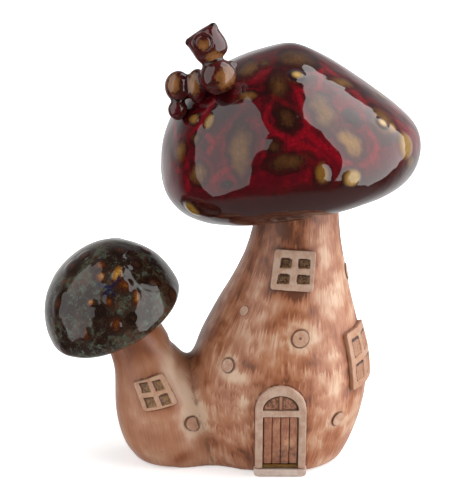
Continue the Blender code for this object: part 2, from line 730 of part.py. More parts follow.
def doorstep_mesh():
    """The step under the frame, a little wider than it, with its ends rounded in towards the floor."""
    half = DOOR_HALF_WIDTH + STEP_OVERHANG
    low = half - STEP_ROUNDING
    bend = CORNER_SHARE * STEP_ROUNDING
    outline = ((-low, 0), (bend - half, bend), (-half, STEP_ROUNDING), (-half, STEP_HEIGHT),
               (half, STEP_HEIGHT), (half, STEP_ROUNDING), (half - bend, bend), (low, 0))
    return plate("doorstep", (outline,), STEP_PROUD)


def make_material(name, finish):
    """A plain glaze or stain."""
    colour, roughness = finish
    material = bpy.data.materials.new(name)
    material.use_nodes = True
    shader = material.node_tree.nodes["Principled BSDF"]
    shader.inputs["Base Color"].default_value = (*colour, 1)
    shader.inputs["Roughness"].default_value = roughness
    shader.inputs["Metallic"].default_value = 0
    material.diffuse_color = (*colour, 1)
    return material


def add_piece(name, mesh, finish, root):
    """Puts a mesh in the scene under the root empty, with a material of its own."""
    piece = bpy.data.objects.new(name, mesh)
    piece.data.materials.append(make_material(name + "_finish", finish))
    piece.parent = root
    bpy.context.scene.collection.objects.link(piece)
    return piece


def add_cutter(name, mesh, root):
    """A hidden solid that shapes other pieces."""
    cutter = bpy.data.objects.new(name, mesh)
    cutter.parent = root
    cutter.hide_render = True
    cutter.display_type = "WIRE"
    bpy.context.scene.collection.objects.link(cutter)
    return cutter


def cut_away(piece, cutter):
    """Leaves only what of a piece lies outside a cutter."""
    modifier = piece.modifiers.new("cut by " + cutter.name, "BOOLEAN")
    modifier.operation = "DIFFERENCE"
    modifier.solver = "EXACT"
    modifier.object = cutter
    return piece


def join_to(piece, other):
    """Joins a hidden solid to a piece."""
    modifier = piece.modifiers.new("joined with " + other.name, "BOOLEAN")
    modifier.operation = "UNION"
    modifier.solver = "EXACT"
    modifier.object = other
    return piece


def build_door(form, root):
    """Doorstep, sill, frame, leaf and fanlight on the front of the large stem."""
    light, bar = fanlight_meshes()
    fanlight = add_piece("fanlight", light, DOOR_STAIN, root)
    join_to(fanlight, add_cutter("mullion", bar, root))
    pieces = [
        add_piece("door_frame", door_frame_mesh(), CREAM_CLAY, root),
        add_piece("door_leaf", door_leaf_mesh(), DOOR_STAIN, root),
        add_piece("door_sill", sill_mesh(), AMBER_GLAZE, root),
        add_piece("doorstep", doorstep_mesh(), CREAM_CLAY, root),
        fanlight,
    ]
    for piece in pieces:
        cut_away(piece, form)


def build_windows(large_form, small_form, root):
    """The two windows of the large stem and the worn one of the small stem."""
    windows = (("upper_window", UPPER_WINDOW, large_form), ("side_window", SIDE_WINDOW, large_form),
               ("small_window", SMALL_WINDOW, small_form))
    for name, window, form in windows:
        cut_away(add_piece(name, window.mesh(name), CREAM_CLAY, root), form)


def build_knots(large_form, small_form, root):
    """Five knots on the large stem and one on the small stem."""
    for name, (height, bearing, radius) in KNOTS.items():
        small = name == "knot_small_stem"
        stem = SMALL_STEM if small else LARGE_STEM
        mesh = knot_mesh(name, radius * MM)
        mesh.transform(stem.seat(height * MM, bearing))
        cut_away(add_piece(name, mesh, KNOT_CLAY, root), small_form if small else large_form)


def build_spots(cap, spots, form, finish, root):
    """Glazed buttons on a cap."""
    for name, (bearing, latitude, across, upward) in spots.items():
        mesh = spot_mesh(name, across * MM, upward * MM)
        mesh.transform(cap.spot_seat(bearing, latitude))
        cut_away(add_piece(name, mesh, finish, root), form)


def lump(seat, size, lean=0, corner_power=CHIN_POWER):
    """A ball of the grub, from the point of the cap under the chest."""
    place, radii = size
    return Ball(seat + Vector(place) * MM, tuple(radius * MM for radius in radii), lean, corner_power)


def grub_balls():
    """All lumps of the grub, with its horns on the corners of its head."""
    seat = LARGE_CAP.skin_point(CHEST_BEARING, CHEST_LATITUDE)
    balls = {name: lump(seat, size) for name, size in LUMPS.items()}
    head = lump(seat, HEAD, HEAD_LEAN, HEAD_CORNER_POWER)
    balls["grub_head"] = head
    for name, side in (("grub_horn_left", -1), ("grub_horn_right", 1)):
        corner = head.frame() @ Vector((side * HORN_X, 0, HORN_Z))
        radii = tuple(radius * MM for radius in HORN_RADII)
        balls[name] = Ball(corner, radii, HEAD_LEAN - side * HORN_SPREAD)
    return balls


def nose_mesh(head):
    """A round snout with a ring groove, on the front of the head."""
    profile = ((1, -SPRIG_DEPTH), (1, 0.3 * NOSE_PROUD), (0.9, 0.7 * NOSE_PROUD), (0.72, 0.2 * NOSE_PROUD),
               (0.55, 0.9 * NOSE_PROUD), (0, 1.2 * NOSE_PROUD))
    mesh = turned("grub_nose", profile, NOSE_RADIUS, NOSE_RADIUS)
    place = head.frame() @ Vector((NOSE_X, -head.radii[1], NOSE_Z))
    mesh.transform(seat_matrix(place, NOSE_FACING, Vector((0, 0, 1))))
    return mesh


def build_grub(cap_form, root):
    """A grub of rolled lumps on the large cap, each shaped to those that it leans on."""
    balls = grub_balls()
    leans_on = {
        "grub_chest": (),
        "grub_middle": ("grub_chest",),
        "grub_tail": (),
        "grub_rear": ("grub_middle", "grub_tail"),
        "grub_arm": ("grub_chest",),
        "grub_head": ("grub_chest",),
        "grub_horn_left": ("grub_head",),
        "grub_horn_right": ("grub_head",),
    }
    on_cap = ("grub_chest", "grub_middle", "grub_tail")
    forms = {}
    for name in ("grub_chest", "grub_middle", "grub_tail", "grub_head"):
        forms[name] = add_cutter(name + "_form", balls[name].mesh(name + "_form", GAP), root)
    for name, others in leans_on.items():
        finish = DARK_GLAZE if "horn" in name or "tail" in name else OCHRE_GLAZE
        piece = add_piece(name, balls[name].mesh(name), finish, root)
        if name in on_cap:
            cut_away(piece, cap_form)
        for other in others:
            cut_away(piece, forms[other])
    nose = add_piece("grub_nose", nose_mesh(balls["grub_head"]), DARK_GLAZE, root)
    cut_away(nose, forms["grub_head"])


def centre_on_floor(root):
    """Moves the house so that it stands on the floor with its middle over the origin."""
    bpy.context.view_layer.update()
    graph = bpy.context.evaluated_depsgraph_get()
    corners = []
    for piece in root.children:
        if not piece.hide_render:
            shown = piece.evaluated_get(graph)
            corners += [shown.matrix_world @ Vector(corner) for corner in shown.bound_box]
    lowest = [min(corner[axis] for corner in corners) for axis in range(3)]
    highest = [max(corner[axis] for corner in corners) for axis in range(3)]
    root.location = (-(lowest[0] + highest[0]) / 2, -(lowest[1] + highest[1]) / 2, -lowest[2])
    bpy.context.view_layer.update()


def main():
    """Builds the whole house and stands it on the floor."""
    clear_scene()
    root = bpy.data.objects.new("mushroom_house", None)
    bpy.context.scene.collection.objects.link(root)
    add_piece("large_stem", loft("large_stem", LARGE_STEM.shell_rings(), True), STEM_CLAY, root)
    small_stem = add_piece("small_stem", loft("small_stem", SMALL_STEM.shell_rings(), True), STEM_CLAY, root)
    add_piece("large_cap", loft("large_cap", LARGE_CAP.shell_rings()), RED_GLAZE, root)
    add_piece("small_cap", loft("small_cap", SMALL_CAP.shell_rings()), GREEN_GLAZE, root)
    large_form = add_cutter("large_stem_form", loft("large_stem_form", LARGE_STEM.solid_rings(GAP)), root)
    small_form = add_cutter("small_stem_form", loft("small_stem_form", SMALL_STEM.solid_rings(GAP)), root)
    large_cap_form = add_cutter("large_cap_form", loft("large_cap_form", LARGE_CAP.solid_rings(GAP)), root)
    small_cap_form = add_cutter("small_cap_form", loft("small_cap_form", SMALL_CAP.solid_rings(GAP)), root)
    cut_away(small_stem, large_form)
    build_door(large_form, root)
    build_windows(large_form, small_form, root)
    build_knots(large_form, small_form, root)
    build_spots(LARGE_CAP, LARGE_SPOTS, large_cap_form, OCHRE_GLAZE, root)
    build_spots(SMALL_CAP, SMALL_SPOTS, small_cap_form, AMBER_GLAZE, root)
    build_grub(large_cap_form, root)
    centre_on_floor(root)


if __name__ == "__main__":
    main()
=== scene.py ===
"""Looks of the porcelain mushroom house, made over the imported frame.

The caps are glazed skins with raised warts, the two stems are one softly joined cast, the door,
windows and knots are soft sprigs of clay, and the grub is rolled lumps under one glaze. Sizes are in
millimetres unless a docstring says otherwise. Bearings are 0 in front and 90 degrees on the right.
"""

import json
import logging
import math
from dataclasses import dataclass
from enum import Enum
from typing import Callable

import bmesh
import bpy
import numpy as np
from mathutils import Matrix, Vector
from mathutils.kdtree import KDTree

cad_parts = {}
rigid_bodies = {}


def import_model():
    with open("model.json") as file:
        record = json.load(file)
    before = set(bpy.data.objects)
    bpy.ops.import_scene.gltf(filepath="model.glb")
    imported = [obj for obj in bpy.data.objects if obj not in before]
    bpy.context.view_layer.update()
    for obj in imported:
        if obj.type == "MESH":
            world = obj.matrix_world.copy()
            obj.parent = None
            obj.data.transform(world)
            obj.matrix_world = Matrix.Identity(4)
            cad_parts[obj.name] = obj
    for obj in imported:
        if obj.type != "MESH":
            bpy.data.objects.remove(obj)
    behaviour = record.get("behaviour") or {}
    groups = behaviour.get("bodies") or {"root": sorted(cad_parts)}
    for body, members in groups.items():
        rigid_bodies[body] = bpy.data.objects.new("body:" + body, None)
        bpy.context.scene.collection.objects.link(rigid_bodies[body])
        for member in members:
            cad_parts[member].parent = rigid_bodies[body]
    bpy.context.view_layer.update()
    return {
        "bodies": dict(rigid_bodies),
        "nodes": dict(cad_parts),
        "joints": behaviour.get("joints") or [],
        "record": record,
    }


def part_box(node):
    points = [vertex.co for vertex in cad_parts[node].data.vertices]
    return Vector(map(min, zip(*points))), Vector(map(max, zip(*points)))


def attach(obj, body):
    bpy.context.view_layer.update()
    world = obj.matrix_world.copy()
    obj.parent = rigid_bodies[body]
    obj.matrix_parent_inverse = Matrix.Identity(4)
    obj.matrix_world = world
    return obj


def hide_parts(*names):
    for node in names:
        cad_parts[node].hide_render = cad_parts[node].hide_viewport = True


LOG = logging.getLogger("mushroom_house")
MM = 0.001
BODY = "root"
FRAME: dict = {}

# Where the large stem's foot stands on the floor, and the clearance between two cast pieces
HOUSE_ORIGIN = Vector((20.333, -2.897, 0)) * MM
GAP = 0.3
MERGE = 0.001
# Powers that shape the domes of the caps and the large cap's lip
SLOPE_FADE = 0.6
LIP_POWER_RIGHT = 0.98
# What a mark says far from any wart, pane or joint
FAR = 9.0
NO_PANE = -2.0
UNMARKED = 99.0

Socket = bpy.types.NodeSocket
Value = Socket | float | tuple
Points = np.ndarray
Form = bmesh.types.BMesh
Piece = bpy.types.Object


def linear(code: str) -> tuple:
    """Linear colour with alpha from a paint code like "#7a4a20".

    Args:
        code: The colour as it looks on a screen.

    Returns:
        Red, green, blue and alpha as the shader takes them.
    """
    channels = [int(code[i:i + 2], 16) / 255 for i in (1, 3, 5)]
    flat = [c / 12.92 if c <= 0.04045 else ((c + 0.055) / 1.055) ** 2.4 for c in channels]
    return (*flat, 1.0)


def ease(values: Points, low: float, high: float) -> Points:
    """Share from 0 at low to 1 at high that starts and ends gently."""
    share = np.clip((values - low) / (high - low), 0, 1)
    return share * share * (3 - 2 * share)


def tilt(left: float, forward: float) -> Matrix:
    """Turn that tips the top towards -X and towards -Y, by degrees."""
    return Matrix.Rotation(math.radians(-left), 4, "Y") @ Matrix.Rotation(math.radians(forward), 4, "X")


def frame_on(skin: Callable[[float, float], Vector], bearing: float, rise: float) -> Matrix:
    """Frame on a surface: X to the right, Y up it and Z out of it.

    Args:
        skin: Gives the surface's point at a bearing and a height or latitude.
        bearing: The frame's bearing.
        rise: Its height or latitude.

    Returns:
        The frame as a matrix, in metres.
    """
    step = 0.5
    across = skin(bearing + step, rise) - skin(bearing - step, rise)
    upward = skin(bearing, rise + step) - skin(bearing, rise - step)
    outward = across.cross(upward).normalized()
    side = upward.cross(outward).normalized()
    matrix = Matrix((side, outward.cross(side).normalized(), outward)).transposed().to_4x4()
    matrix.translation = skin(bearing, rise)
    return matrix


def carry(matrix: Matrix, points: Points) -> Points:
    """Points taken through a matrix."""
    whole = np.array(matrix)
    return points @ whole[:3, :3].T + whole[:3, 3]


def house(points: Points) -> Points:
    """Points as millimetres from the middle of the large foot."""
    return (points - np.array(HOUSE_ORIGIN)) / MM


def read_points(piece: Piece) -> Points:
    """The vertices of a piece as rows, in metres."""
    flat = np.empty(len(piece.data.vertices) * 3)
    piece.data.vertices.foreach_get("co", flat)
    return flat.reshape(-1, 3)


def read_normals(piece: Piece) -> Points:
    """The normals of a piece at its vertices, as rows."""
    flat = np.empty(len(piece.data.vertices) * 3)
    piece.data.vertex_normals.foreach_get("vector", flat)
    return flat.reshape(-1, 3)


def write_points(piece: Piece, points: Points) -> None:
    """Moves the vertices of a piece."""
    piece.data.vertices.foreach_set("co", points.ravel())
    piece.data.update()


def store(piece: Piece, **marks: Points | float) -> None:
    """Stores marks for the shaders under their names.

    Args:
        piece: The piece.
        **marks: One number or one vector for each vertex, or one number for all.
    """
    for name, values in marks.items():
        if np.ndim(values) == 0:
            values = np.full(len(piece.data.vertices), float(values))
        kind, key = ("FLOAT", "value") if values.ndim == 1 else ("FLOAT_VECTOR", "vector")
        layer = piece.data.attributes.new(name, kind, "POINT")
        layer.data.foreach_set(key, values.astype(np.float32).ravel())


def hollows(piece: Piece, passes: int = 3) -> Points:
    """How hollow a fine, even skin is at each vertex.

    Args:
        piece: The piece, with edges of about one length.
        passes: How far the result is spread.

    Returns:
        Curvature per millimetre: above 0 in hollows, below 0 on edges.
    """
    points = read_points(piece) / MM
    ends = np.empty(len(piece.data.edges) * 2, int)
    piece.data.edges.foreach_get("vertices", ends)
    first, second = ends.reshape(-1, 2).T
    count = np.maximum(np.bincount(ends, minlength=len(points)), 1)

    def mean_of_neighbours(values: Points) -> Points:
        """Mean of a value over the far ends of each vertex's edges."""
        total = np.bincount(first, values[second], len(points))
        return (total + np.bincount(second, values[first], len(points))) / count

    middle = np.stack([mean_of_neighbours(points[:, axis]) for axis in range(3)], axis=1)
    length = np.linalg.norm(points[first] - points[second], axis=1).mean()
    curvature = ((middle - points) * read_normals(piece)).sum(axis=1) * 4 / length**2
    for _ in range(passes):
        curvature = (curvature + mean_of_neighbours(curvature)) / 2
    return curvature


def nearest_distance(points: Points, others: Points) -> Points:
    """Distance from each point to the nearest of some others.

    Args:
        points: The points, in metres.
        others: The others.

    Returns:
        A distance for each point.
    """
    tree = KDTree(len(others))
    for index, other in enumerate(others):
        tree.insert(other, index)
    tree.balance()
    return np.array([tree.find(point)[2] for point in points])


def spin(rows: list, steps: int) -> Form:
    """A round body on Z, turned from its profile.

    Args:
        rows: (radius, height) from one end of the axis to the other.
        steps: How many sides it gets.

    Returns:
        The body.
    """
    bm = bmesh.new()
    line = [bm.verts.new((radius, 0, height)) for radius, height in rows]
    for low, high in zip(line, line[1:]):
        bm.edges.new((low, high))
    bmesh.ops.spin(bm, geom=bm.verts[:] + bm.edges[:], cent=(0, 0, 0), axis=(0, 0, 1),
                   angle=2 * math.pi, steps=steps, use_merge=True)
    bmesh.ops.remove_doubles(bm, verts=bm.verts, dist=MERGE)
    return bm


def gather(bodies: list) -> Form:
    """Several bodies as one form. They are freed.

    Args:
        bodies: The forms, which are freed.

    Returns:
        The one form.
    """
    bm = bmesh.new()
    for body in bodies:
        mesh = bpy.data.meshes.new("body")
        body.to_mesh(mesh)
        body.free()
        bm.from_mesh(mesh)
        bpy.data.meshes.remove(mesh)
    return bm


def new_piece(name: str, bm: Form) -> Piece:
    """A smooth object from a finished form.

    Args:
        name: The piece's name.
        bm: Its form, in metres. It is freed.

    Returns:
        The object, linked to the scene.
    """
    mesh = bpy.data.meshes.new(name)
    bm.to_mesh(mesh)
    bm.free()
    mesh.shade_smooth()
    piece = bpy.data.objects.new(name, mesh)
    bpy.context.scene.collection.objects.link(piece)
    return piece


def modify(piece: Piece, kind: str, **settings: object) -> None:
    """Puts a modifier on a piece and applies it.

    Args:
        piece: The piece.
        kind: The modifier's type.
        **settings: Its settings.
    """
    modifier = piece.modifiers.new(kind, kind)
    for name, setting in settings.items():
        setattr(modifier, name, setting)
    bpy.context.view_layer.update()
    graph = bpy.context.evaluated_depsgraph_get()
    mesh = bpy.data.meshes.new_from_object(piece.evaluated_get(graph))
    piece.modifiers.clear()
    old = piece.data
    piece.data = mesh
    bpy.data.meshes.remove(old)
    mesh.shade_smooth()


def remesh(piece: Piece, pitch: float) -> None:
    """Gives a piece one even skin with faces of one size."""
    modify(piece, "REMESH", mode="VOXEL", voxel_size=pitch * MM)


def soften(piece: Piece, passes: int) -> None:
    """Rounds a piece off."""
    modify(piece, "SMOOTH", factor=0.5, iterations=passes)


def waver(piece: Piece, size: float, depth: float) -> None:
    """Makes a skin a little uneven, as hands and thick glaze do.

    Args:
        piece: The piece, which only gets smaller.
        size: Distance between rises.
        depth: The deepest dent.
    """
    grain = bpy.data.textures.new(piece.name + "_waver", "CLOUDS")
    grain.noise_scale = size * MM
    grain.noise_depth = 1
    modify(piece, "DISPLACE", texture=grain, texture_coords="LOCAL", mid_level=1, strength=depth * MM)


def fill_joins(piece: Piece, distances: Callable[[Points], Points],
               width: Callable[[Points], Points], deepest: float) -> None:
    """Rounds out the valleys between overlapping bodies, as slip and glaze fill them.

    Args:
        piece: The bodies as one even skin.
        distances: Gives one row for each body, how far outside it each point is.
        width: Gives how far up both bodies the fill reaches at each point.
        deepest: Points that are deeper inside than this stay, such as those under a foot.
    """
    def outside(points: Points) -> tuple:
        """How far outside the filled skin points are, and the fill's thickness there.

        Args:
            points: The points, in metres.

        Returns:
            Both, each as a row.
        """
        first, second = np.sort(distances(points), axis=0)[:2]
        reach = width(points)
        fill = np.clip(reach - (second - first), 0, None) ** 2 / (4 * reach)
        return first - fill, fill

    step, passes = 0.05, 4
    least_slope, least_fill = 0.3, 0.02
    for _ in range(passes):
        points = read_points(piece)
        value, fill = outside(points)
        ahead = [outside(points + shift)[0] for shift in np.eye(3) * step * MM]
        slope = (np.stack(ahead, axis=1) - value[:, None]) / step
        move = value / np.clip((slope**2).sum(axis=1), least_slope, None)
        move = np.where((fill > least_fill) & (value > -deepest), move, 0)
        write_points(piece, points - slope * move[:, None] * MM)


def soft_copy(name: str, node: str, pitch: float, passes: int) -> Piece:
    """A new piece with the softened form of a CAD node.

    Args:
        name: The piece's name.
        node: The node's name.
        pitch: The size of its faces.
        passes: How far it is softened.

    Returns:
        The object.
    """
    bm = bmesh.new()
    bm.from_mesh(FRAME["nodes"][node].data)
    bmesh.ops.remove_doubles(bm, verts=bm.verts, dist=MERGE * MM)
    piece = new_piece(name, bm)
    remesh(piece, pitch)
    soften(piece, passes)
    return piece


def keep_in_box(piece: Piece, nodes: tuple) -> None:
    """Holds a piece inside the box of the CAD nodes that it stands for.

    Args:
        piece: The piece.
        nodes: The names of the nodes.
    """
    boxes = [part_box(node) for node in nodes]
    lowest = np.min([tuple(box[0]) for box in boxes], axis=0)
    highest = np.max([tuple(box[1]) for box in boxes], axis=0)
    write_points(piece, np.clip(read_points(piece), lowest, highest))


def hand_in(piece: Piece, material: bpy.types.Material, slot: str, nodes: tuple) -> Piece:
    """Finishes a piece and puts it in the place of its CAD nodes.

    Args:
        piece: The finished piece.
        material: Its finish.
        slot: The record's material slot; not used.
        nodes: The CAD nodes that it stands for.

    Returns:
        The piece.
    """
    piece.data.materials.clear()
    piece.data.materials.append(material)
    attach(piece, BODY)
    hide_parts(*nodes)
    LOG.info("%s: %d faces for %s", piece.name, len(piece.data.polygons), ", ".join(nodes))
    return piece


@dataclass(frozen=True)
class Curve:
    """A smooth curve through (place, value) stops."""

    stops: tuple

    def at(self, place: Points) -> Points:
        """Values on the curve, which goes on straight past its ends.

        Args:
            place: One place, or an array of them.

        Returns:
            The values.
        """
        places, values = np.array(self.stops, float).T
        slopes = np.empty(len(places))
        slopes[1:-1] = (values[2:] - values[:-2]) / (places[2:] - places[:-2])
        slopes[0] = (values[1] - values[0]) / (places[1] - places[0])
        slopes[-1] = (values[-1] - values[-2]) / (places[-1] - places[-2])
        inside = np.clip(place, places[0], places[-1])
        i = np.clip(np.searchsorted(places, inside) - 1, 0, len(places) - 2)
        span = places[i + 1] - places[i]
        t = (inside - places[i]) / span
        start = values[i] * (2 * t**3 - 3 * t**2 + 1) + slopes[i] * span * (t**3 - 2 * t**2 + t)
        end = values[i + 1] * (3 * t**2 - 2 * t**3) + slopes[i + 1] * span * (t**3 - t**2)
        past = np.where(place < places[0], slopes[0], slopes[-1]) * (place - inside)
        return start + end + past

    def value(self, place: float) -> float:
        """The curve's value at one place."""
        return float(self.at(np.array(place)))


@dataclass(frozen=True)
class StemForm:
    """The outer form of a stem: round rings on a leaning axis, tipped to the slope of the cap."""

    foot: tuple
    radii: Curve
    shifts: Curve
    neck: float
    bend: float
    tilt_left: float
    tilt_forward: float
    drain: float
    ring_width: float = 8
    recess: float = 1
    rounding: float = 1.6
    drain_depth: float = 24
    collar: float = 0.8
    bead: tuple = ((0.3, -0.8), (1.0, 0.2), (0.0, 0.4))
    neck_edge: float = 2
    rings: int = 48
    sides: int = 128

    def frame(self, height: float) -> Matrix:
        """Frame of the ring at a height, in metres.

        Args:
            height: Its height.

        Returns:
            The frame.
        """
        level = min(height, self.neck)
        share = float(ease(np.array(level), self.bend, self.neck))
        place = HOUSE_ORIGIN + Vector((self.foot[0] + self.shifts.value(level), self.foot[1], level)) * MM
        rise = Matrix.Translation((0, 0, (height - level) * MM))
        return Matrix.Translation(place) @ tilt(self.tilt_left * share, self.tilt_forward * share) @ rise

    def skin(self, bearing: float, height: float, proud: float = 0) -> Vector:
        """Point at a bearing and a height that stands out of the skin, in metres."""
        reach = (self.radii.value(height) + proud) * MM
        angle = math.radians(bearing)
        return self.frame(height) @ Vector((reach * math.sin(angle), -reach * math.cos(angle), 0))

    def seat(self, bearing: float, height: float) -> Matrix:
        """Frame on the skin at a bearing and a height, in metres."""
        return frame_on(self.skin, bearing, height)

    def from_axis(self, points: Points, bounded: bool = False) -> tuple:
        """Where points lie from the axis.

        Args:
            points: The points, in metres.
            bounded: Whether the axis goes straight up past the neck and down past the floor.

        Returns:
            How far each is to the right of the axis, behind it and above the floor, and the radius there.
        """
        across, behind, height = house(points).T
        level = np.clip(height, 0, self.neck) if bounded else height
        return (across - self.foot[0] - self.shifts.at(level), behind - self.foot[1], height,
                self.radii.at(level))

    def proud(self, points: Points) -> Points:
        """How far points in metres stand out of the skin, in millimetres."""
        across, behind, height, radius = self.from_axis(points, bounded=True)
        return np.maximum(np.hypot(across, behind) - radius, height - self.neck - self.neck_edge)

    def brushing(self, points: Points) -> Points:
        """Place round and up the axis, in millimetres, along which brush strokes run straight.

        Args:
            points: The points, in metres.

        Returns:
            A row for each point.
        """
        across, behind, height, _ = self.from_axis(points)
        way = np.column_stack((across, behind))
        girth = 24
        return np.column_stack((girth * way / np.linalg.norm(way, axis=1)[:, None], height))

    def profile(self) -> list:
        """(radius, height) from the top of the drain hole, under the foot and up the outside.

        Returns:
            The rows.
        """
        foot, neck = self.radii.value(0), self.radii.value(self.neck)
        inner = foot - self.ring_width
        corner = self.rounding * (1 - math.sqrt(0.5))
        heights = np.linspace(self.rounding, self.neck - self.neck_edge, self.rings)
        rows = [(0, self.drain_depth), (self.drain, self.drain_depth), (self.drain, self.recess),
                (inner - self.recess, self.recess), (inner, 0), (foot - self.rounding, 0),
                (foot - corner, corner)]
        rows += [(self.radii.value(height), float(height)) for height in heights]
        rows += [(neck + share * self.collar, self.neck + above) for share, above in self.bead]
        return [*rows, (0, rows[-1][1])]

    def solid(self) -> Form:
        """The whole form, spun from its profile and bent along its axis.

        Returns:
            The form.
        """
        bm = spin(self.profile(), self.sides)
        for vert in bm.verts:
            vert.co = self.frame(vert.co.z) @ Vector((vert.co.x * MM, vert.co.y * MM, 0))
        bmesh.ops.recalc_face_normals(bm, faces=bm.faces)
        return bm


@dataclass(frozen=True)
class CapForm:
    """The outer form of a cap: a lopsided dome over a rolled lip and a flat floor."""

    stem: StemForm
    offset: float
    reach_right: float
    reach_left: float
    crown: float
    waist: float
    roll: float
    slope_right: float
    slope_left: float
    segments: int
    rings: int
    dome_share: float = 0.62
    floor_share: float = 0.86

    def frame(self) -> Matrix:
        """Frame with its origin in the floor, under the crown, in metres."""
        return self.stem.frame(self.stem.neck) @ Matrix.Translation(Vector((self.offset, 0, GAP)) * MM)

    def skin(self, angle: Points, latitude: Points) -> Points:
        """Points on the skin.

        Args:
            angle: Radians round the crown from +X.
            latitude: 90 degrees on the crown, 0 on the widest line and -90 on the edge of the floor.

        Returns:
            Their places in metres.
        """
        left = (1 - np.cos(angle)) / 2
        reach = self.reach_right + (self.reach_left - self.reach_right) * left
        slope = self.slope_right + (self.slope_left - self.slope_right) * left
        up = np.radians(np.clip(latitude, 0, 90))
        power = 1 + (slope - 1) * np.clip(np.sin(2 * up), 0, None) ** SLOPE_FADE
        dome_radius = reach * np.cos(up) ** power
        dome_height = self.waist + (self.crown - self.waist) * np.sin(up) ** power
        down = np.radians(np.clip(-latitude, 0, 90))
        lip = LIP_POWER_RIGHT + (1 - LIP_POWER_RIGHT) * left
        lip_radius = reach - self.roll * (1 - np.cos(down) ** lip)
        lip_height = self.waist * (1 - np.sin(down) ** lip)
        radius = np.where(latitude < 0, lip_radius, dome_radius)
        height = np.where(latitude < 0, lip_height, dome_height)
        local = np.stack((radius * np.cos(angle), radius * np.sin(angle), height), axis=-1)
        return carry(self.frame(), local * MM)

    def point(self, bearing: float, latitude: float) -> Vector:
        """Point on the skin at a bearing and a latitude."""
        return Vector(self.skin(np.array([math.radians(bearing - 90)]), np.array([float(latitude)]))[0])

    def seat(self, bearing: float, latitude: float) -> Matrix:
        """Frame on the skin at a bearing and a latitude."""
        return frame_on(self.point, bearing, latitude)

    def solid(self) -> tuple:
        """The whole closed skin.

        Returns:
            The form, and each vertex's cosine and sine round the crown and its share of the way down.
        """
        bm = bmesh.new()
        bmesh.ops.create_uvsphere(bm, u_segments=self.segments, v_segments=self.rings, radius=1)
        ball = np.array([tuple(vert.co) for vert in bm.verts])
        angle = np.arctan2(ball[:, 1], ball[:, 0])
        share = np.arccos(np.clip(ball[:, 2], -1, 1)) / math.pi
        dome = 90 * (1 - share / self.dome_share)
        lip = -90 * (share - self.dome_share) / (self.floor_share - self.dome_share)
        latitude = np.clip(np.where(share < self.dome_share, dome, lip), -90, 90)
        points = self.skin(angle, latitude)
        inward = np.clip((share - self.floor_share) / (1 - self.floor_share), 0, 1)[:, None]
        points += (np.array(self.frame().translation) - points) * inward
        for vert, point in zip(bm.verts, points):
            vert.co = point
        bmesh.ops.recalc_face_normals(bm, faces=bm.faces)
        return bm, np.stack((np.cos(angle), np.sin(angle), share), axis=1)


LARGE_STEM = StemForm(
    foot=(0, 0),
    radii=Curve(((0, 30), (5, 32.8), (12, 35.7), (22, 38.7), (36, 40.7), (52, 39), (68, 33.2), (84, 27.1),
                 (100, 22.1), (116.7, 19.1))),
    shifts=Curve(((0, 0.6), (30, 1.2), (60, 2.6), (90, 6.6), (116.7, 9.2))),
    neck=116.7, bend=70, tilt_left=9.5, tilt_forward=-7.4, drain=7)
SMALL_STEM = StemForm(
    foot=(-49, -6.5),
    radii=Curve(((0, 17.2), (3, 19), (9, 21), (20, 21.7), (34, 19.6), (50, 15.8), (66, 13.6))),
    shifts=Curve(((0, 2.4), (8, 0), (22, -3), (44, -8), (66, -17.8))),
    neck=66, bend=30, tilt_left=23.8, tilt_forward=11, drain=4)
LARGE_CAP = CapForm(LARGE_STEM, offset=5.6, reach_right=54.5, reach_left=63.5, crown=74.7, waist=22.8,
                    roll=24.8, slope_right=1.5, slope_left=0.93, segments=400, rings=220)
SMALL_CAP = CapForm(SMALL_STEM, offset=0.6, reach_right=27.6, reach_left=36.6, crown=39.8, waist=7.8,
                    roll=12.3, slope_right=1.05, slope_left=0.97, segments=300, rings=150)


class Nodes:
    """A node tree under construction."""

    def __init__(self, tree: bpy.types.NodeTree) -> None:
        """Takes the tree."""
        self.tree = tree

    def feed(self, socket: Socket, value: Value) -> None:
        """Links a socket to another, or sets its value.

        Args:
            socket: The socket.
            value: The value, or the socket that gives it.
        """
        if isinstance(value, bpy.types.NodeSocket):
            self.tree.links.new(value, socket)
        else:
            socket.default_value = value

    def node(self, kind: str, inputs: tuple | dict = (), **settings: object) -> bpy.types.Node:
        """Adds a node.

        Args:
            kind: Its type, without its first word.
            inputs: What it is fed, in the order of its inputs or by their names.
            **settings: Its properties.

        Returns:
            The node.
        """
        added = self.tree.nodes.new("ShaderNode" + kind)
        for key, setting in settings.items():
            setattr(added, key, setting)
        for key, value in inputs.items() if isinstance(inputs, dict) else enumerate(inputs):
            self.feed(added.inputs[key], value)
        return added

    def maths(self, operation: str, *numbers: Value) -> Socket:
        """One sum on numbers."""
        return self.node("Math", numbers, operation=operation).outputs[0]

    def vector(self, operation: str, *vectors: Value) -> Socket:
        """One sum on vectors."""
        return self.node("VectorMath", vectors, operation=operation).outputs[0]


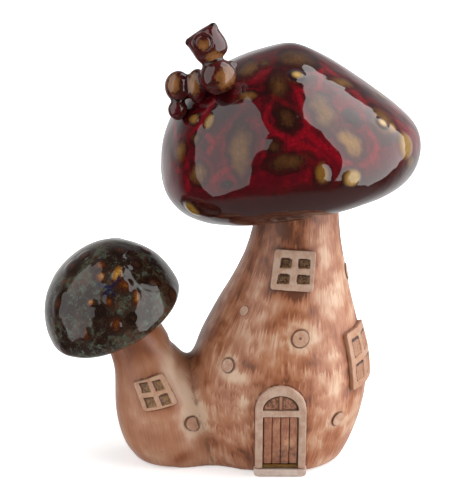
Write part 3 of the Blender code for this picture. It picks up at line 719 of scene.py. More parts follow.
class Paint(Nodes):
    """A material under construction: methods add nodes and return the socket to go on from."""

    def __init__(self, name: str, ground: str, roughness: float, density: float = 1.5) -> None:
        """Starts a material.

        Args:
            name: Its name.
            ground: Paint code of its ground.
            roughness: Its roughness.
            density: Its index of refraction.
        """
        self.material = bpy.data.materials.new(name)
        self.material.use_nodes = True
        super().__init__(self.material.node_tree)
        self.shader = self.tree.nodes["Principled BSDF"]
        self.shader.inputs["Roughness"].default_value = roughness
        self.shader.inputs["IOR"].default_value = density
        self.colour: Value = linear(ground)

    def attribute(self, name: str, output: str = "Fac") -> Socket:
        """A number or vector stored on the mesh."""
        return self.node("Attribute", attribute_name=name).outputs[output]

    def millimetres(self) -> Socket:
        """Place on the object in millimetres."""
        place = self.node("TexCoord").outputs["Object"]
        return self.node("VectorMath", {0: place, "Scale": 1 / MM}, operation="SCALE").outputs[0]

    def add(self, first: Value, second: Value, share: float = 1.0) -> Socket:
        """The first number plus a share of the second."""
        return self.maths("MULTIPLY_ADD", second, share, first)

    def total(self, number: Value, *parts: tuple) -> Socket:
        """A number plus parts, each given as (value, share)."""
        for value, share in parts:
            number = self.add(number, value, share)
        return number

    def both(self, first: Value, second: Value) -> Socket:
        """Where both masks are on."""
        return self.maths("MULTIPLY", first, second)

    def either(self, first: Value, second: Value) -> Socket:
        """Where one of two masks is on."""
        return self.maths("MAXIMUM", first, second)

    def rise(self, value: Value, low: float, high: float) -> Socket:
        """Mask that goes gently from 0 at low to 1 at high, or the other way where low is above high."""
        ends = (low, high, 0.0, 1.0) if low < high else (high, low, 1.0, 0.0)
        return self.node("MapRange", (value, *ends), interpolation_type="SMOOTHSTEP").outputs["Result"]

    def band(self, value: Value, middle: float, half: float) -> Socket:
        """Mask that is on near one value."""
        return self.rise(self.maths("ABSOLUTE", self.add(value, -middle)), half, 0.0)

    def noise(self, place: Socket, scale: float, detail: float = 3.0, bite: float = 0.55) -> Socket:
        """Cloudy values about 0.5."""
        inputs = {"Vector": place, "Scale": scale, "Detail": detail, "Roughness": bite}
        return self.node("TexNoise", inputs).outputs["Fac"]

    def streaks(self, place: Socket, scale: tuple, detail: float = 3.0, bite: float = 0.55) -> Socket:
        """Cloudy values that are drawn out along an axis."""
        return self.noise(self.vector("MULTIPLY", place, scale), 1.0, detail, bite)

    def blotches(self, place: Socket, scale: float, low: float, high: float,
                 detail: float = 3.0) -> Socket:
        """Cloudy mask."""
        return self.rise(self.noise(place, scale, detail), low, high)

    def cells(self, place: Socket, scale: float, feature: str = "DISTANCE_TO_EDGE") -> Socket:
        """Distance to the nearest edge, or middle, of crazed cells."""
        inputs = {"Vector": place, "Scale": scale}
        return self.node("TexVoronoi", inputs, feature=feature).outputs["Distance"]

    def warp(self, place: Socket, scale: float, reach: float) -> Socket:
        """Coordinates pushed about, so that what is drawn on them wanders."""
        push = self.node("TexNoise", {"Vector": place, "Scale": scale, "Detail": 3.0}).outputs["Color"]
        push = self.vector("MULTIPLY_ADD", push, (2 * reach,) * 3, (-reach,) * 3)
        return self.vector("ADD", place, push)

    def smear(self, place: Socket, amount: Value, reach: float) -> Socket:
        """Coordinates pushed up by an amount, so that edges run out in streaks."""
        push = self.node("CombineXYZ", {"Z": self.both(amount, reach)})
        return self.vector("ADD", place, push.outputs[0])

    def mix(self, share: Value, first: Value, second: Value, kind: str = "RGBA") -> Socket:
        """Colour or number between two."""
        inputs = {"Factor": share, "A": first, "B": second}
        return self.node("Mix", inputs, data_type=kind).outputs["Result"]

    def ramp(self, value: Value, stops: tuple) -> Socket:
        """Colour from a scale of (value, paint code) stops.

        Args:
            value: The value, or the socket that gives it.
            stops: Its stops.

        Returns:
            The colour.
        """
        added = self.node("ValToRGB", (value,))
        scale = added.color_ramp.elements
        while len(scale) < len(stops):
            scale.new(0.5)
        for element, (place, code) in zip(scale, stops):
            element.position, element.color = place, linear(code)
        return added.outputs["Color"]

    def coat(self, mask: Value, colour: Value | str, share: float | None = None) -> None:
        """Lays a colour over what is there.

        Args:
            mask: Where it lies.
            colour: Its paint code, or the socket of a colour that varies.
            share: How much it covers, where that is less than all.
        """
        over = linear(colour) if isinstance(colour, str) else colour
        self.colour = self.mix(mask if share is None else self.both(mask, share), self.colour, over)

    def bump(self, height: Value, depth: float) -> None:
        """Raises the skin by a number from 0 to 1, to a depth in millimetres.

        Args:
            height: The number, or the socket that gives it.
            depth: The depth.
        """
        added = self.node("Bump", {"Height": height, "Distance": depth * MM})
        for earlier in self.shader.inputs["Normal"].links:
            self.feed(added.inputs["Normal"], earlier.from_socket)
        self.feed(self.shader.inputs["Normal"], added.outputs["Normal"])

    def done(self, roughness: Value | None = None) -> bpy.types.Material:
        """Gives the shader its colour, and its roughness where that varies.

        Args:
            roughness: The roughness, or the socket that gives it.

        Returns:
            The material.
        """
        self.feed(self.shader.inputs["Base Color"], self.colour)
        if roughness is not None:
            self.feed(self.shader.inputs["Roughness"], roughness)
        return self.material


class Tone(Enum):
    """How the glaze breaks on a wart, from 0 where it stays dark to 1 where it thins to pale ochre."""

    DARK = 0.08
    UMBER = 0.2
    BROWN = 0.3
    AMBER = 0.5
    OCHRE = 0.7
    FAWN = 0.84
    PALE = 0.95


@dataclass(frozen=True)
class Wart:
    """A raised oval on a cap: where it sits, its half widths, its turn and its tone."""

    tone: Tone
    bearing: float
    latitude: float
    across: float
    upward: float
    turn: float = 0.0

    def distance(self, cap: CapForm, points: Points) -> Points:
        """Distance from the middle for each point, as a share of the half width.

        Args:
            cap: The cap that carries it.
            points: The points, in metres.

        Returns:
            A share for each point.
        """
        local = carry(cap.seat(self.bearing, self.latitude).inverted(), points) / MM
        angle = math.radians(self.turn)
        along = local[:, 0] * math.cos(angle) + local[:, 1] * math.sin(angle)
        beside = local[:, 1] * math.cos(angle) - local[:, 0] * math.sin(angle)
        share = np.hypot(along / self.across, beside / self.upward)
        return np.where(np.abs(local[:, 2]) < 2 * max(self.across, self.upward), share, FAR)


@dataclass(frozen=True)
class Vein:
    """A line of colour in the glaze of a cap: its half width, and its turns by bearing and latitude."""

    width: float
    path: tuple

    def turned(self, angle: float) -> "Vein":
        """The same line further round the cap."""
        return Vein(self.width, tuple((bearing + angle, latitude) for bearing, latitude in self.path))

    def distance(self, cap: CapForm, points: Points) -> Points:
        """Distance from the line for each point, as a share of the half width.

        Args:
            cap: The cap that carries it.
            points: The points, in metres.

        Returns:
            A share for each point.
        """
        corners = np.array([cap.point(*place) for place in self.path])
        away = []
        for start, end in zip(corners, corners[1:]):
            along = end - start
            share = np.clip((points - start) @ along / (along @ along), 0, 1)
            away.append(np.linalg.norm(points - start - share[:, None] * along, axis=1))
        return np.min(away, axis=0) / MM / self.width


@dataclass(frozen=True)
class ReactiveGlaze:
    """Burgundy glaze with crimson veins that breaks brown and ochre over the warts."""

    name: str = "reactive_glaze"
    dark: str = "#2a060a"
    wine: str = "#480a10"
    blood: str = "#4c0710"
    crimson: str = "#780614"
    hot: str = "#a01022"
    outline: str = "#1c0a08"
    lip: str = "#2e1410"
    amber: str = "#7a4a20"
    floor: str = "#6a4426"
    halo: str = "#1e0c1c"
    thin: tuple = ((0.0, "#220e08"), (0.2, "#432613"), (0.42, "#603e1e"), (0.68, "#86602c"),
                   (1.0, "#b58c50"))
    spots: tuple = ((0.0, "#3a1a0c"), (0.5, "#74501e"), (0.75, "#8e6c30"), (1.0, "#c4a468"))

    def material(self) -> bpy.types.Material:
        """The glaze, drawn on the cap's stored marks.

        Returns:
            The material.
        """
        paint = Paint(self.name, self.dark, roughness=0.05, density=1.6)
        place = paint.millimetres()
        flow = paint.attribute("flow", "Vector")
        down = paint.node("SeparateXYZ", (flow,)).outputs["Z"]
        broad = paint.noise(place, 0.05)
        lobes = paint.noise(place, 0.16, 2.0)
        ragged = paint.noise(place, 0.7, 4.0, 0.6)
        fibres = paint.streaks(paint.warp(flow, 3.0, 0.03), (48.0, 48.0, 7.0), 5.0, 0.62)
        wart = paint.total(paint.attribute("wart"), (lobes, 1.1), (ragged, 0.3), (-0.7, 1.0))

        paint.coat(paint.rise(broad, 0.38, 0.62), self.wine)
        low = paint.rise(paint.add(down, broad, 0.3), 0.5, 0.8)
        paint.coat(low, self.blood)
        net = paint.band(paint.noise(paint.warp(place, 0.15, 3.0), 0.06, 2.0), 0.5, 0.055)
        net = paint.both(net, paint.blotches(place, 0.11, 0.35, 0.55, 2.0))
        ring = paint.both(paint.band(wart, 1.5, 0.5), paint.rise(lobes, 0.36, 0.62))
        threads = paint.both(low, paint.blotches(place, 0.075, 0.42, 0.6, 2.0))
        threads = paint.both(paint.rise(fibres, 0.56, 0.72), threads)
        wild = paint.both(paint.either(paint.either(net, ring), threads), 0.4)
        drawn = paint.total(paint.attribute("vein"), (fibres, 1.6), (ragged, 1.2))
        veins = paint.either(wild, paint.rise(drawn, 2.7, 1.55))
        veins = paint.both(veins, paint.rise(fibres, 0.15, 0.6))
        paint.coat(veins, self.crimson, 0.9)
        paint.coat(paint.both(veins, paint.blotches(place, 0.9, 0.5, 0.66, 4.0)), self.hot, 0.5)

        level = paint.total(paint.attribute("wart_tone"), (paint.add(ragged, -0.5), 0.35),
                            (paint.add(fibres, -0.5), 0.3), (paint.rise(wart, 0.1, 1.05), -0.26))
        paint.coat(paint.band(wart, 1.1, 0.46), self.outline, 0.6)
        paint.coat(paint.rise(wart, 1.16, 0.6), paint.ramp(level, self.thin))

        share = paint.add(down, ragged, 0.03)
        paint.coat(paint.rise(share, 0.635, 0.71), self.lip, 0.9)
        paint.coat(paint.band(share, 0.868, 0.014), self.amber, 0.9)
        paint.coat(paint.rise(share, 0.872, 0.89), self.floor)

        spot = paint.total(paint.attribute("spot"), (ragged, 0.3), (-0.15, 1.0))
        tone = paint.attribute("spot_tone")
        bright = paint.ramp(paint.total(tone, (ragged, 0.3), (-0.15, 1.0)), self.spots)
        ringed = paint.rise(tone, 0.88, 0.92)
        paint.coat(paint.rise(paint.add(spot, ringed, 0.4), 1.25, 0.55), bright)
        paint.coat(paint.both(paint.band(spot, 0.98, 0.36), paint.both(ringed, 0.92)), self.halo)
        paint.bump(paint.noise(place, 0.1, 1.0), 0.25)
        return paint.done()


@dataclass(frozen=True)
class CrystalGlaze:
    """Dark brown glaze with grey green crystals that breaks amber over the warts."""

    name: str = "crystal_glaze"
    dark: str = "#271812"
    brown: str = "#4c3226"
    green: str = "#464c3e"
    pale: str = "#607064"
    cobalt: str = "#0e0a3a"
    lip: str = "#43291c"
    thin: tuple = ((0.0, "#1f130d"), (0.22, "#361d11"), (0.42, "#56280f"), (0.66, "#8a5a1c"),
                   (1.0, "#b8924a"))

    def material(self) -> bpy.types.Material:
        """The glaze, drawn on the cap's stored marks.

        Returns:
            The material.
        """
        paint = Paint(self.name, self.dark, roughness=0.06)
        place = paint.millimetres()
        broad = paint.noise(place, 0.09, 2.0)
        lobes = paint.noise(place, 0.3, 2.0)
        ragged = paint.noise(place, 1.1, 5.0, 0.66)
        wart = paint.total(paint.attribute("wart"), (lobes, 0.9), (ragged, 0.5), (-0.7, 1.0))
        paint.coat(paint.rise(broad, 0.4, 0.62), self.brown)
        feather = paint.noise(paint.warp(place, 0.8, 1.4), 0.42, 7.0, 0.7)
        arms = paint.rise(paint.cells(paint.warp(place, 0.5, 3.0), 0.2), 0.26, 0.02)
        growth = paint.total(feather, (arms, 0.16), (broad, 0.35))
        green = paint.both(paint.rise(growth, 0.715, 0.9), paint.rise(wart, 0.75, 1.25))
        paint.coat(green, self.green, 0.9)
        paint.coat(paint.both(green, paint.rise(feather, 0.54, 0.68)), self.pale, 0.55)
        level = paint.total(paint.attribute("wart_tone"), (paint.add(ragged, -0.5), 1.1),
                            (paint.rise(wart, 0.0, 1.0), -0.4))
        paint.coat(paint.band(wart, 1.15, 0.4), self.dark, 0.8)
        paint.coat(paint.rise(wart, 1.1, 0.7), paint.ramp(level, self.thin))
        star = paint.add(paint.attribute("vein"), ragged, 4.0)
        paint.coat(paint.rise(star, 3.4, 2.2), self.cobalt, 0.85)
        down = paint.node("SeparateXYZ", (paint.attribute("flow", "Vector"),)).outputs["Z"]
        paint.coat(paint.rise(paint.add(down, ragged, 0.06), 0.79, 0.86), self.lip, 0.85)
        paint.bump(paint.noise(place, 0.14, 1.0), 0.2)
        return paint.done()


@dataclass(frozen=True)
class StainedClay:
    """Cream clay with a brushed iron wash under a satin glaze."""

    name: str = "stained_clay"
    cream: str = "#d9b699"
    deep: str = "#5a3020"
    rim: str = "#643622"
    # Colour of the band along the crease: painted shade, with some wash caught there.
    crease_stain_and_shade: str = "#6a4c34"
    wash: tuple = ((0.0, "#d9b699"), (0.42, "#b88060"), (0.74, "#9e5f3e"), (1.0, "#6e412c"))

    def material(self) -> bpy.types.Material:
        """The wash, brushed downwards and caught beside the sprigs and in the crease, with painted shade
        along the crease, under the caps and on the left flanks, and painted light on the right side.

        Returns:
            The material.
        """
        paint = Paint(self.name, self.cream, roughness=0.36)
        place = paint.millimetres()
        wandering = paint.warp(paint.attribute("brush", "Vector"), 0.05, 0.8)
        hair = paint.streaks(wandering, (1.6, 1.6, 0.1), bite=0.62)
        stroke = paint.streaks(wandering, (0.5, 0.5, 0.08), 2.0)
        cloud = paint.streaks(place, (0.1, 0.1, 0.09), 1.6)
        patch = paint.streaks(paint.smear(wandering, hair, 11.0), (0.13, 0.13, 0.19), 1.4)
        relief, knot = paint.attribute("near_relief"), paint.attribute("near_knot")

        busy = paint.total(-0.76, (hair, 0.72), (stroke, 0.62), (cloud, 0.86),
                           (paint.rise(patch, 0.39, 0.62), 0.3))
        calm = paint.total(-0.2, (hair, 0.42), (cloud, 0.8))
        blot = paint.streaks(place, (0.16, 0.16, 0.12), bite=0.6)
        round_knot = paint.rise(paint.add(knot, blot, 9.0), 10.0, 5.5)
        wiped = paint.both(round_knot, paint.rise(relief, 1.0, 4.0))
        # The level adds painted shade on each stem under its cap, and the wash mark carries the painted
        # shade and light of some listed places.
        level = paint.total(paint.mix(paint.attribute("small"), busy, calm, "FLOAT"),
                            (paint.attribute("wash"), 1.0), (paint.rise(relief, 6.0, 0.3), 0.22),
                            (paint.rise(paint.attribute("under_cap"), 26.0, 0.0), 0.35), (wiped, -0.26))
        paint.colour = paint.ramp(level, self.wash)

        line = paint.both(paint.rise(relief, 1.1, 0.35), paint.blotches(place, 0.5, 0.35, 0.6))
        paint.coat(line, self.deep, 0.8)
        ring = paint.both(paint.rise(knot, 0.95, 0.3), paint.blotches(place, 0.3, 0.2, 0.42))
        paint.coat(ring, self.rim, 0.85)
        # Darker band along the crease between the stems: painted shade, with some wash caught there.
        crease = paint.add(paint.attribute("crease"), paint.noise(place, 0.12), 9.0)
        paint.coat(paint.rise(crease, 5.6, 3.8), self.crease_stain_and_shade, 0.6)
        paint.coat(paint.rise(paint.cells(place, 0.2, "F1"), 0.09, 0.04), self.deep, 0.4)
        paint.bump(paint.streaks(place, (1.1, 1.1, 0.12), 2.0), 0.06)
        paint.bump(paint.noise(place, 0.25, 2.0), 0.25)
        return paint.done(paint.add(0.28, hair, 0.16))


@dataclass(frozen=True)
class SprigClay:
    """Pale clay of a sprig, with wash left in its hollows and in its panes, and painted shadow along the
    top and left of each pane.
    """

    name: str
    pale: str = "#c6a995"
    tint: str = "#b28b74"
    # Wash colour in the hollows, also used as the painted shadow at the top and left of each pane.
    stain_and_shade: str = "#4a2c1c"
    pane_dark: str = "#3c2416"
    pane_light: str = "#94704e"
    # Width of the painted shadow at the top and left of each pane.
    edge: float = 1.0
    roughness: float = 0.34

    def material(self) -> bpy.types.Material:
        """The clay, stained where it is hollow, with painted shadow along the top and left of each pane.

        Returns:
            The material.
        """
        paint = Paint(self.name, self.pale, roughness=self.roughness)
        place = paint.millimetres()
        cloud = paint.noise(place, 0.25, 4.0, 0.6)
        hair = paint.streaks(place, (1.2, 1.2, 0.25), bite=0.6)
        paint.coat(paint.rise(paint.add(cloud, hair, 0.4), 0.5, 0.95), self.tint)
        caught = paint.add(paint.attribute("hollow"), cloud, 0.3)
        paint.coat(paint.rise(caught, 0.24, 0.62), self.stain_and_shade, 0.8)
        speckle = paint.noise(place, 1.3, 4.0, 0.7)
        floor = paint.mix(paint.rise(speckle, 0.4, 0.62), linear(self.pane_dark), linear(self.pane_light))
        # Painted shadow along the top and left edges of each pane.
        edge = paint.add(paint.attribute("pane_edge"), speckle, 1.2)
        floor = paint.mix(paint.rise(edge, self.edge + 0.7, self.edge), floor, linear(self.stain_and_shade))
        pane = paint.add(paint.attribute("pane"), cloud, 0.4)
        paint.coat(paint.rise(pane, 0.0, 0.35), floor)
        paint.bump(cloud, 0.1)
        return paint.done(paint.add(self.roughness - 0.06, cloud, 0.12))


@dataclass(frozen=True)
class DoorStain:
    """Brown stain on the planks and the light, darkest low down and in the grooves."""

    name: str = "door_stain"
    light: str = "#c4906e"
    groove: str = "#3a2014"
    soot: str = "#50463a"
    brown: tuple = ((0.1, "#c4906e"), (0.5, "#9e644a"), (0.95, "#583626"))
    dim: tuple = ((0.38, "#5a3826"), (0.62, "#b47e60"))

    def material(self) -> bpy.types.Material:
        """The stain, with grain along the planks.

        Returns:
            The material.
        """
        paint = Paint(self.name, self.light, roughness=0.4)
        place = paint.millimetres()
        grain = paint.streaks(paint.warp(place, 0.3, 0.8), (1.6, 1.6, 0.14), 4.0, 0.62)
        cloud = paint.noise(place, 0.2, 4.0, 0.6)
        level = paint.total(-0.35, (grain, 0.8), (cloud, 0.8), (paint.attribute("worn"), -0.4))
        paint.colour = paint.ramp(level, self.brown)
        soot = paint.both(paint.attribute("low"), paint.blotches(place, 0.5, 0.42, 0.62, 4.0))
        paint.coat(soot, self.soot, 0.7)
        paint.coat(paint.rise(paint.attribute("hollow"), 0.1, 0.5), self.groove, 0.85)
        dim = paint.ramp(paint.noise(place, 0.8, 4.0, 0.65), self.dim)
        paint.coat(paint.rise(paint.attribute("pane"), 0.0, 0.5), dim, 0.85)
        paint.bump(grain, 0.12)
        return paint.done()


@dataclass(frozen=True)
class GrubGlaze:
    """Glaze that breaks ochre on the round of each lump and stays dark in creases and on flanks."""

    name: str = "grub_glaze"
    ochre: str = "#7a4e2a"
    pale: str = "#9a6940"
    brown: str = "#3e1a12"
    dark: str = "#180808"
    wine: str = "#4c0c14"

    def material(self) -> bpy.types.Material:
        """The glaze, drawn by distance to the next lump and to each lump's bare side.

        Returns:
            The material.
        """
        paint = Paint(self.name, self.brown, roughness=0.06, density=1.6)
        place = paint.millimetres()
        ragged = paint.noise(place, 0.4, 4.0, 0.6)
        crease = paint.add(paint.attribute("crease"), ragged, 1.4)
        bare = paint.add(paint.attribute("bare"), paint.add(ragged, -0.5), 0.9)
        paint.coat(paint.rise(ragged, 0.42, 0.6), self.wine)
        paint.coat(paint.rise(bare, 0.35, 0.62), self.ochre)
        paint.coat(paint.rise(bare, 0.62, 0.95), self.pale, 0.8)
        paint.coat(paint.rise(crease, 1.9, 0.8), self.dark, 0.9)
        paint.coat(paint.rise(paint.streaks(place, (0.8, 0.8, 0.25), 4.0), 0.58, 0.75), self.brown, 0.4)
        paint.bump(paint.noise(place, 0.5, 2.0), 0.08)
        return paint.done()


@dataclass(frozen=True)
class GlazedCap:
    """A cap under thick glaze: its form, its finish, and the spots, warts and veins on it."""

    node: str
    form: CapForm
    finish: ReactiveGlaze | CrystalGlaze
    slot: str
    spots: dict
    warts: tuple
    veins: tuple
    spot_rise: float = 0.5
    wart_rise: float = 0.1
    wart_edge: tuple = (0.5, 1.2)
    spot_edge: tuple = (0.62, 1.2)
    waver_size: float = 22.0
    waver_depth: float = 0.7

    def build(self) -> Piece:
        """Makes the cap with its raised marks.

        Returns:
            The piece.
        """
        bm, flow = self.form.solid()
        piece = new_piece(self.node + "_glazed", bm)
        store(piece, flow=flow)
        waver(piece, self.waver_size, self.waver_depth)
        points = read_points(piece)
        spot, spot_tone = self.nearest(tuple(self.spots.values()), points)
        wart, wart_tone = self.nearest(self.warts, points)
        height = self.wart_rise * (1 - ease(wart, *self.wart_edge))
        height += self.spot_rise * (1 - ease(spot, *self.spot_edge))
        write_points(piece, points + read_normals(piece) * height[:, None] * MM)
        vein = np.min([vein.distance(self.form, points) for vein in self.veins], axis=0)
        store(piece, spot=spot, spot_tone=spot_tone, wart=wart, wart_tone=wart_tone,
              vein=np.minimum(vein, FAR))
        nodes = (self.node, *self.spots)
        keep_in_box(piece, nodes)
        return hand_in(piece, self.finish.material(), self.slot, nodes)

    def nearest(self, marks: tuple, points: Points) -> tuple:
        """Distance to the nearest mark, and its tone, for each point."""
        every = np.array([mark.distance(self.form, points) for mark in marks])
        tones = np.array([mark.tone.value for mark in marks])
        return every.min(axis=0), tones[every.argmin(axis=0)]


def warts(rows: dict) -> tuple:
    """Warts from rows of bearing, latitude, half widths and turn, by tone."""
    return tuple(Wart(tone, *row) for tone, found in rows.items() for row in found)


LARGE_SPOTS = {
    "spot_crown": Wart(Tone.PALE, 8, 53, 3.6, 3.6),
    "spot_right": Wart(Tone.PALE, 47, 21, 3.2, 3.2),
    "spot_edge": Wart(Tone.OCHRE, 57, 2, 6.2, 5.8),
    "spot_low_right": Wart(Tone.FAWN, 21.5, -15, 3.8, 3.6),
    "spot_low": Wart(Tone.AMBER, 8, -3, 2.8, 3.8),
    "spot_low_left": Wart(Tone.OCHRE, -58, -30, 4.2, 4.2),
    "spot_left": Wart(Tone.OCHRE, -43, 31, 2.4, 3.6),
    "spot_back_left": Wart(Tone.OCHRE, -128, 34, 3.6, 3.6),
    "spot_back": Wart(Tone.PALE, 172, 12, 3.4, 4),
    "spot_back_right": Wart(Tone.OCHRE, 122, 40, 3.4, 3.4),
}
LARGE_WARTS = warts({
    Tone.BROWN: ((16, 64, 10.2, 7.8), (-6, 48, 5, 9), (7, 53, 6.4, 5.4), (-21, 64, 3.6, 4.2),
                 (-5, 8, 10.1, 3.8), (-49, 23, 3.2, 2.3), (96, 9, 5, 6), (108, 60, 7, 6),
                 (178, 62, 7, 6), (-152, 42, 6, 6), (-112, 16, 7, 6), (-138, -18, 6, 4)),
    Tone.AMBER: ((-34, 61, 5, 7.5), (-25, 44, 4.1, 2.9), (-59, 16, 5.1, 4.9), (-46, 6, 5.5, 4.7),
                 (-25, 17, 5.5, 10.5), (8, -4, 3.9, 5.2), (21, -16, 4.8, 4.6), (16, 32, 5.4, 10.6),
                 (44, 46, 5.9, 4.1, -20), (49, 22, 7, 9.5, -40), (80, 35, 6, 5), (135, 18, 6, 5),
                 (-162, 14, 7, 5), (-126, 62, 5, 5), (-96, 44, 6, 5), (106, -16, 6, 4)),
    Tone.UMBER: ((-3, 31, 4.7, 6.6), (-10, 17, 3.8, 3.6)),
    Tone.OCHRE: ((-54, 32, 3.5, 2.7), (24, 13, 7.2, 5, -53), (52, 17, 2.7, 4.2, -59),
                 (62, -18, 5.3, 2.7, -12)),
    Tone.DARK: ((-32, 0, 2.9, 1.5), (-58, -27, 5.7, 4.4), (31, 27, 4, 4.7), (152, 46, 6, 7),
                (-86, 4, 5, 5), (158, -14, 7, 4)),
})
# Half width, and bearing and latitude of each turn
FRONT_VEINS = tuple(Vein(*row) for row in (
    (3.2, ((-37, 52), (-26, 53), (-21, 57), (-18, 62), (-13, 68))),
    (3, ((-33, 69), (-18, 63), (-17, 57))),
    (1.7, ((-10, 43), (-3, 38), (3, 35), (6, 30), (6, 25), (2, 22))),
    (1.4, ((-9, 42), (-13, 35), (-14, 30), (-10, 25), (-6, 22))),
    (2.6, ((-10, 25), (-6, 22), (-2, 19), (2, 16), (7, 12), (11, 5))),
    (3, ((-5, 16), (-1, 19), (2, 22))), (1.8, ((0, 14), (3, 7), (8, 4))),
    (1.3, ((3, 7), (3, 1), (1, -7))), (1.8, ((16, 53), (30, 53), (46, 56), (43, 59))),
    (1.5, ((29, 52), (21, 45), (12, 41), (7, 45), (3, 49))), (2, ((3, 49), (5, 43), (6, 35))),
    (2.8, ((43, 55), (47, 46), (47, 39), (46, 33))), (1.6, ((54, 29), (61, 21), (64, 15), (65, 7))),
    (1.4, ((27, 33), (20, 26), (24, 23), (31, 24), (39, 28))),
    (2.8, ((5, 22), (10, 15), (15, 10), (18, 2), (25, -4), (33, 1))),
    (2, ((33, 1), (38, 10), (36, 17))), (2.4, ((-46, 41), (-48, 30), (-52, 24))),
    (2.2, ((-55, 13), (-51, 6), (-54, -3))), (1.8, ((-40, 16), (-38, 21), (-42, 24))),
    (1.8, ((-39, 2), (-32, 7), (-26, 10), (-20, 10))), (1.2, ((-17, 9), (-14, 14), (-15, 20))),
))
LARGE_VEINS = tuple(vein.turned(angle) for angle in (0, 124, -124) for vein in FRONT_VEINS)
SMALL_VEINS = tuple(Vein(*row) for row in (
    (0.8, ((24, 47), (14, 44), (7, 44), (-2, 39))), (0.8, ((-2, 50), (4, 46), (8, 43))),
    (0.6, ((8, 44), (8, 40), (9, 36))), (1.1, ((7, 45), (6, 42))),
))
SMALL_SPOTS = {
    "spot_small_low": Wart(Tone.AMBER, -1, 15, 2.2, 2.2),
    "spot_small_left": Wart(Tone.AMBER, -14.5, 38, 2, 1.6),
    "spot_small_right": Wart(Tone.OCHRE, 27.5, 25, 1.8, 3.4, -38),
    "spot_small_back": Wart(Tone.AMBER, 168, 34, 2.4, 2.4),
}
SMALL_WARTS = warts({
    Tone.PALE: ((25, 50, 4.1, 2.4, 30),),
    Tone.AMBER: ((23, 39, 4, 3.7, -32), (8, 66, 3.7, 3.4, -30), (1, 34, 1.8, 3.5), (-1, 15, 3.9, 4),
                 (-27, 16, 2.4, 3.8), (100, 40, 4, 4), (150, 52, 4, 4), (-140, 46, 4, 4)),
    Tone.OCHRE: ((3, 56, 2.7, 3), (26, 25, 1.9, 4.5, -38), (-16, 39, 2.3, 1.8)),
    Tone.BROWN: ((71, 62, 4.6, 5), (-70, 82, 4.2, 4.4), (-72, 71, 5.4, 4.6), (-56, 41, 4.5, 6.4),
                 (56, 45, 4, 3.8), (52, 24, 6.2, 3, -38), (-55, 2, 4.1, 3.9), (64, 3, 5, 4.6),
                 (128, 18, 4, 5), (-166, 20, 5, 3), (-112, 26, 4, 5)),
    Tone.DARK: ((-10, 31, 4, 3.5), (14, 13, 4.1, 3.5)),
})


@dataclass(frozen=True)
class Window:
    """Where a window sits on its stem, and its panes."""

    node: str
    stem: StemForm
    height: float
    bearing: float
    turn: float
    pane_width: float
    pane_height: float
    bar: float
    turned_back: float = 0.0

    def settled(self, points: Points) -> Points:
        """Points of the window, turned back on its seat."""
        frame = self.stem.seat(self.bearing, self.height)
        turn = Matrix.Rotation(-math.radians(self.turned_back), 4, "Z")
        return carry(frame @ turn @ frame.inverted(), points)

    def panes(self, points: Points) -> tuple:
        """Where points lie in the panes.

        Args:
            points: Points of the window, in metres.

        Returns:
            How far inside the nearest pane each is, and how far from that pane's top or left, where the
            painted shadow lies.
        """
        across, behind, level, _ = self.stem.from_axis(points)
        frame = self.stem.seat(self.bearing, self.height)
        bearing = np.degrees(np.arctan2(across, -behind))
        sideways = np.radians(bearing - self.bearing) * self.stem.radii.value(self.height)
        upward = (level - frame.translation.z / MM) / frame.col[1].z
        angle = math.radians(self.turn)
        u = sideways * math.cos(angle) + upward * math.sin(angle)
        v = upward * math.cos(angle) - sideways * math.sin(angle)
        u -= np.sign(u) * (self.bar + self.pane_width) / 2
        v -= np.sign(v) * (self.bar + self.pane_height) / 2
        room = np.minimum(self.pane_width / 2 - np.abs(u), self.pane_height / 2 - np.abs(v))
        corner = np.minimum(self.pane_width / 2 + u, self.pane_height / 2 - v)
        return np.clip(room, NO_PANE, 2), np.clip(corner, NO_PANE, FAR)


@dataclass(frozen=True)
class Sprig:
    """A piece of clay luted on a stem and softened by its glaze."""

    node: str
    finish: SprigClay
    slot: str = "cream_clay"
    stem: StemForm = LARGE_STEM
    pitch: float = 0.3
    passes: int = 5
    tuck: float = 0.6
    tuck_below: tuple = (0.35, 0.75)
    window: Window | None = None

    def build(self) -> Piece:
        """Makes the sprig with its back pressed into the stem and its hollows marked.

        Returns:
            The piece.
        """
        piece = soft_copy(self.node + "_clay", self.node, self.pitch, self.passes)
        points = read_points(piece)
        pane = edge = NO_PANE
        if self.window:
            pane, edge = self.window.panes(points)
            points = self.window.settled(points)
        across, behind, *_ = self.stem.from_axis(points)
        inward = -np.column_stack((across, behind, np.zeros(len(points))))
        inward /= np.linalg.norm(inward, axis=1)[:, None]
        push = self.tuck * (1 - ease(self.stem.proud(points), *self.tuck_below))
        write_points(piece, points + inward * push[:, None] * MM)
        # Marks for the wash in the hollows and for the painted shadow at the top and left of each pane.
        store(piece, hollow=hollows(piece), pane=pane, pane_edge=edge)
        return hand_in(piece, self.finish.material(), self.slot, (self.node,))


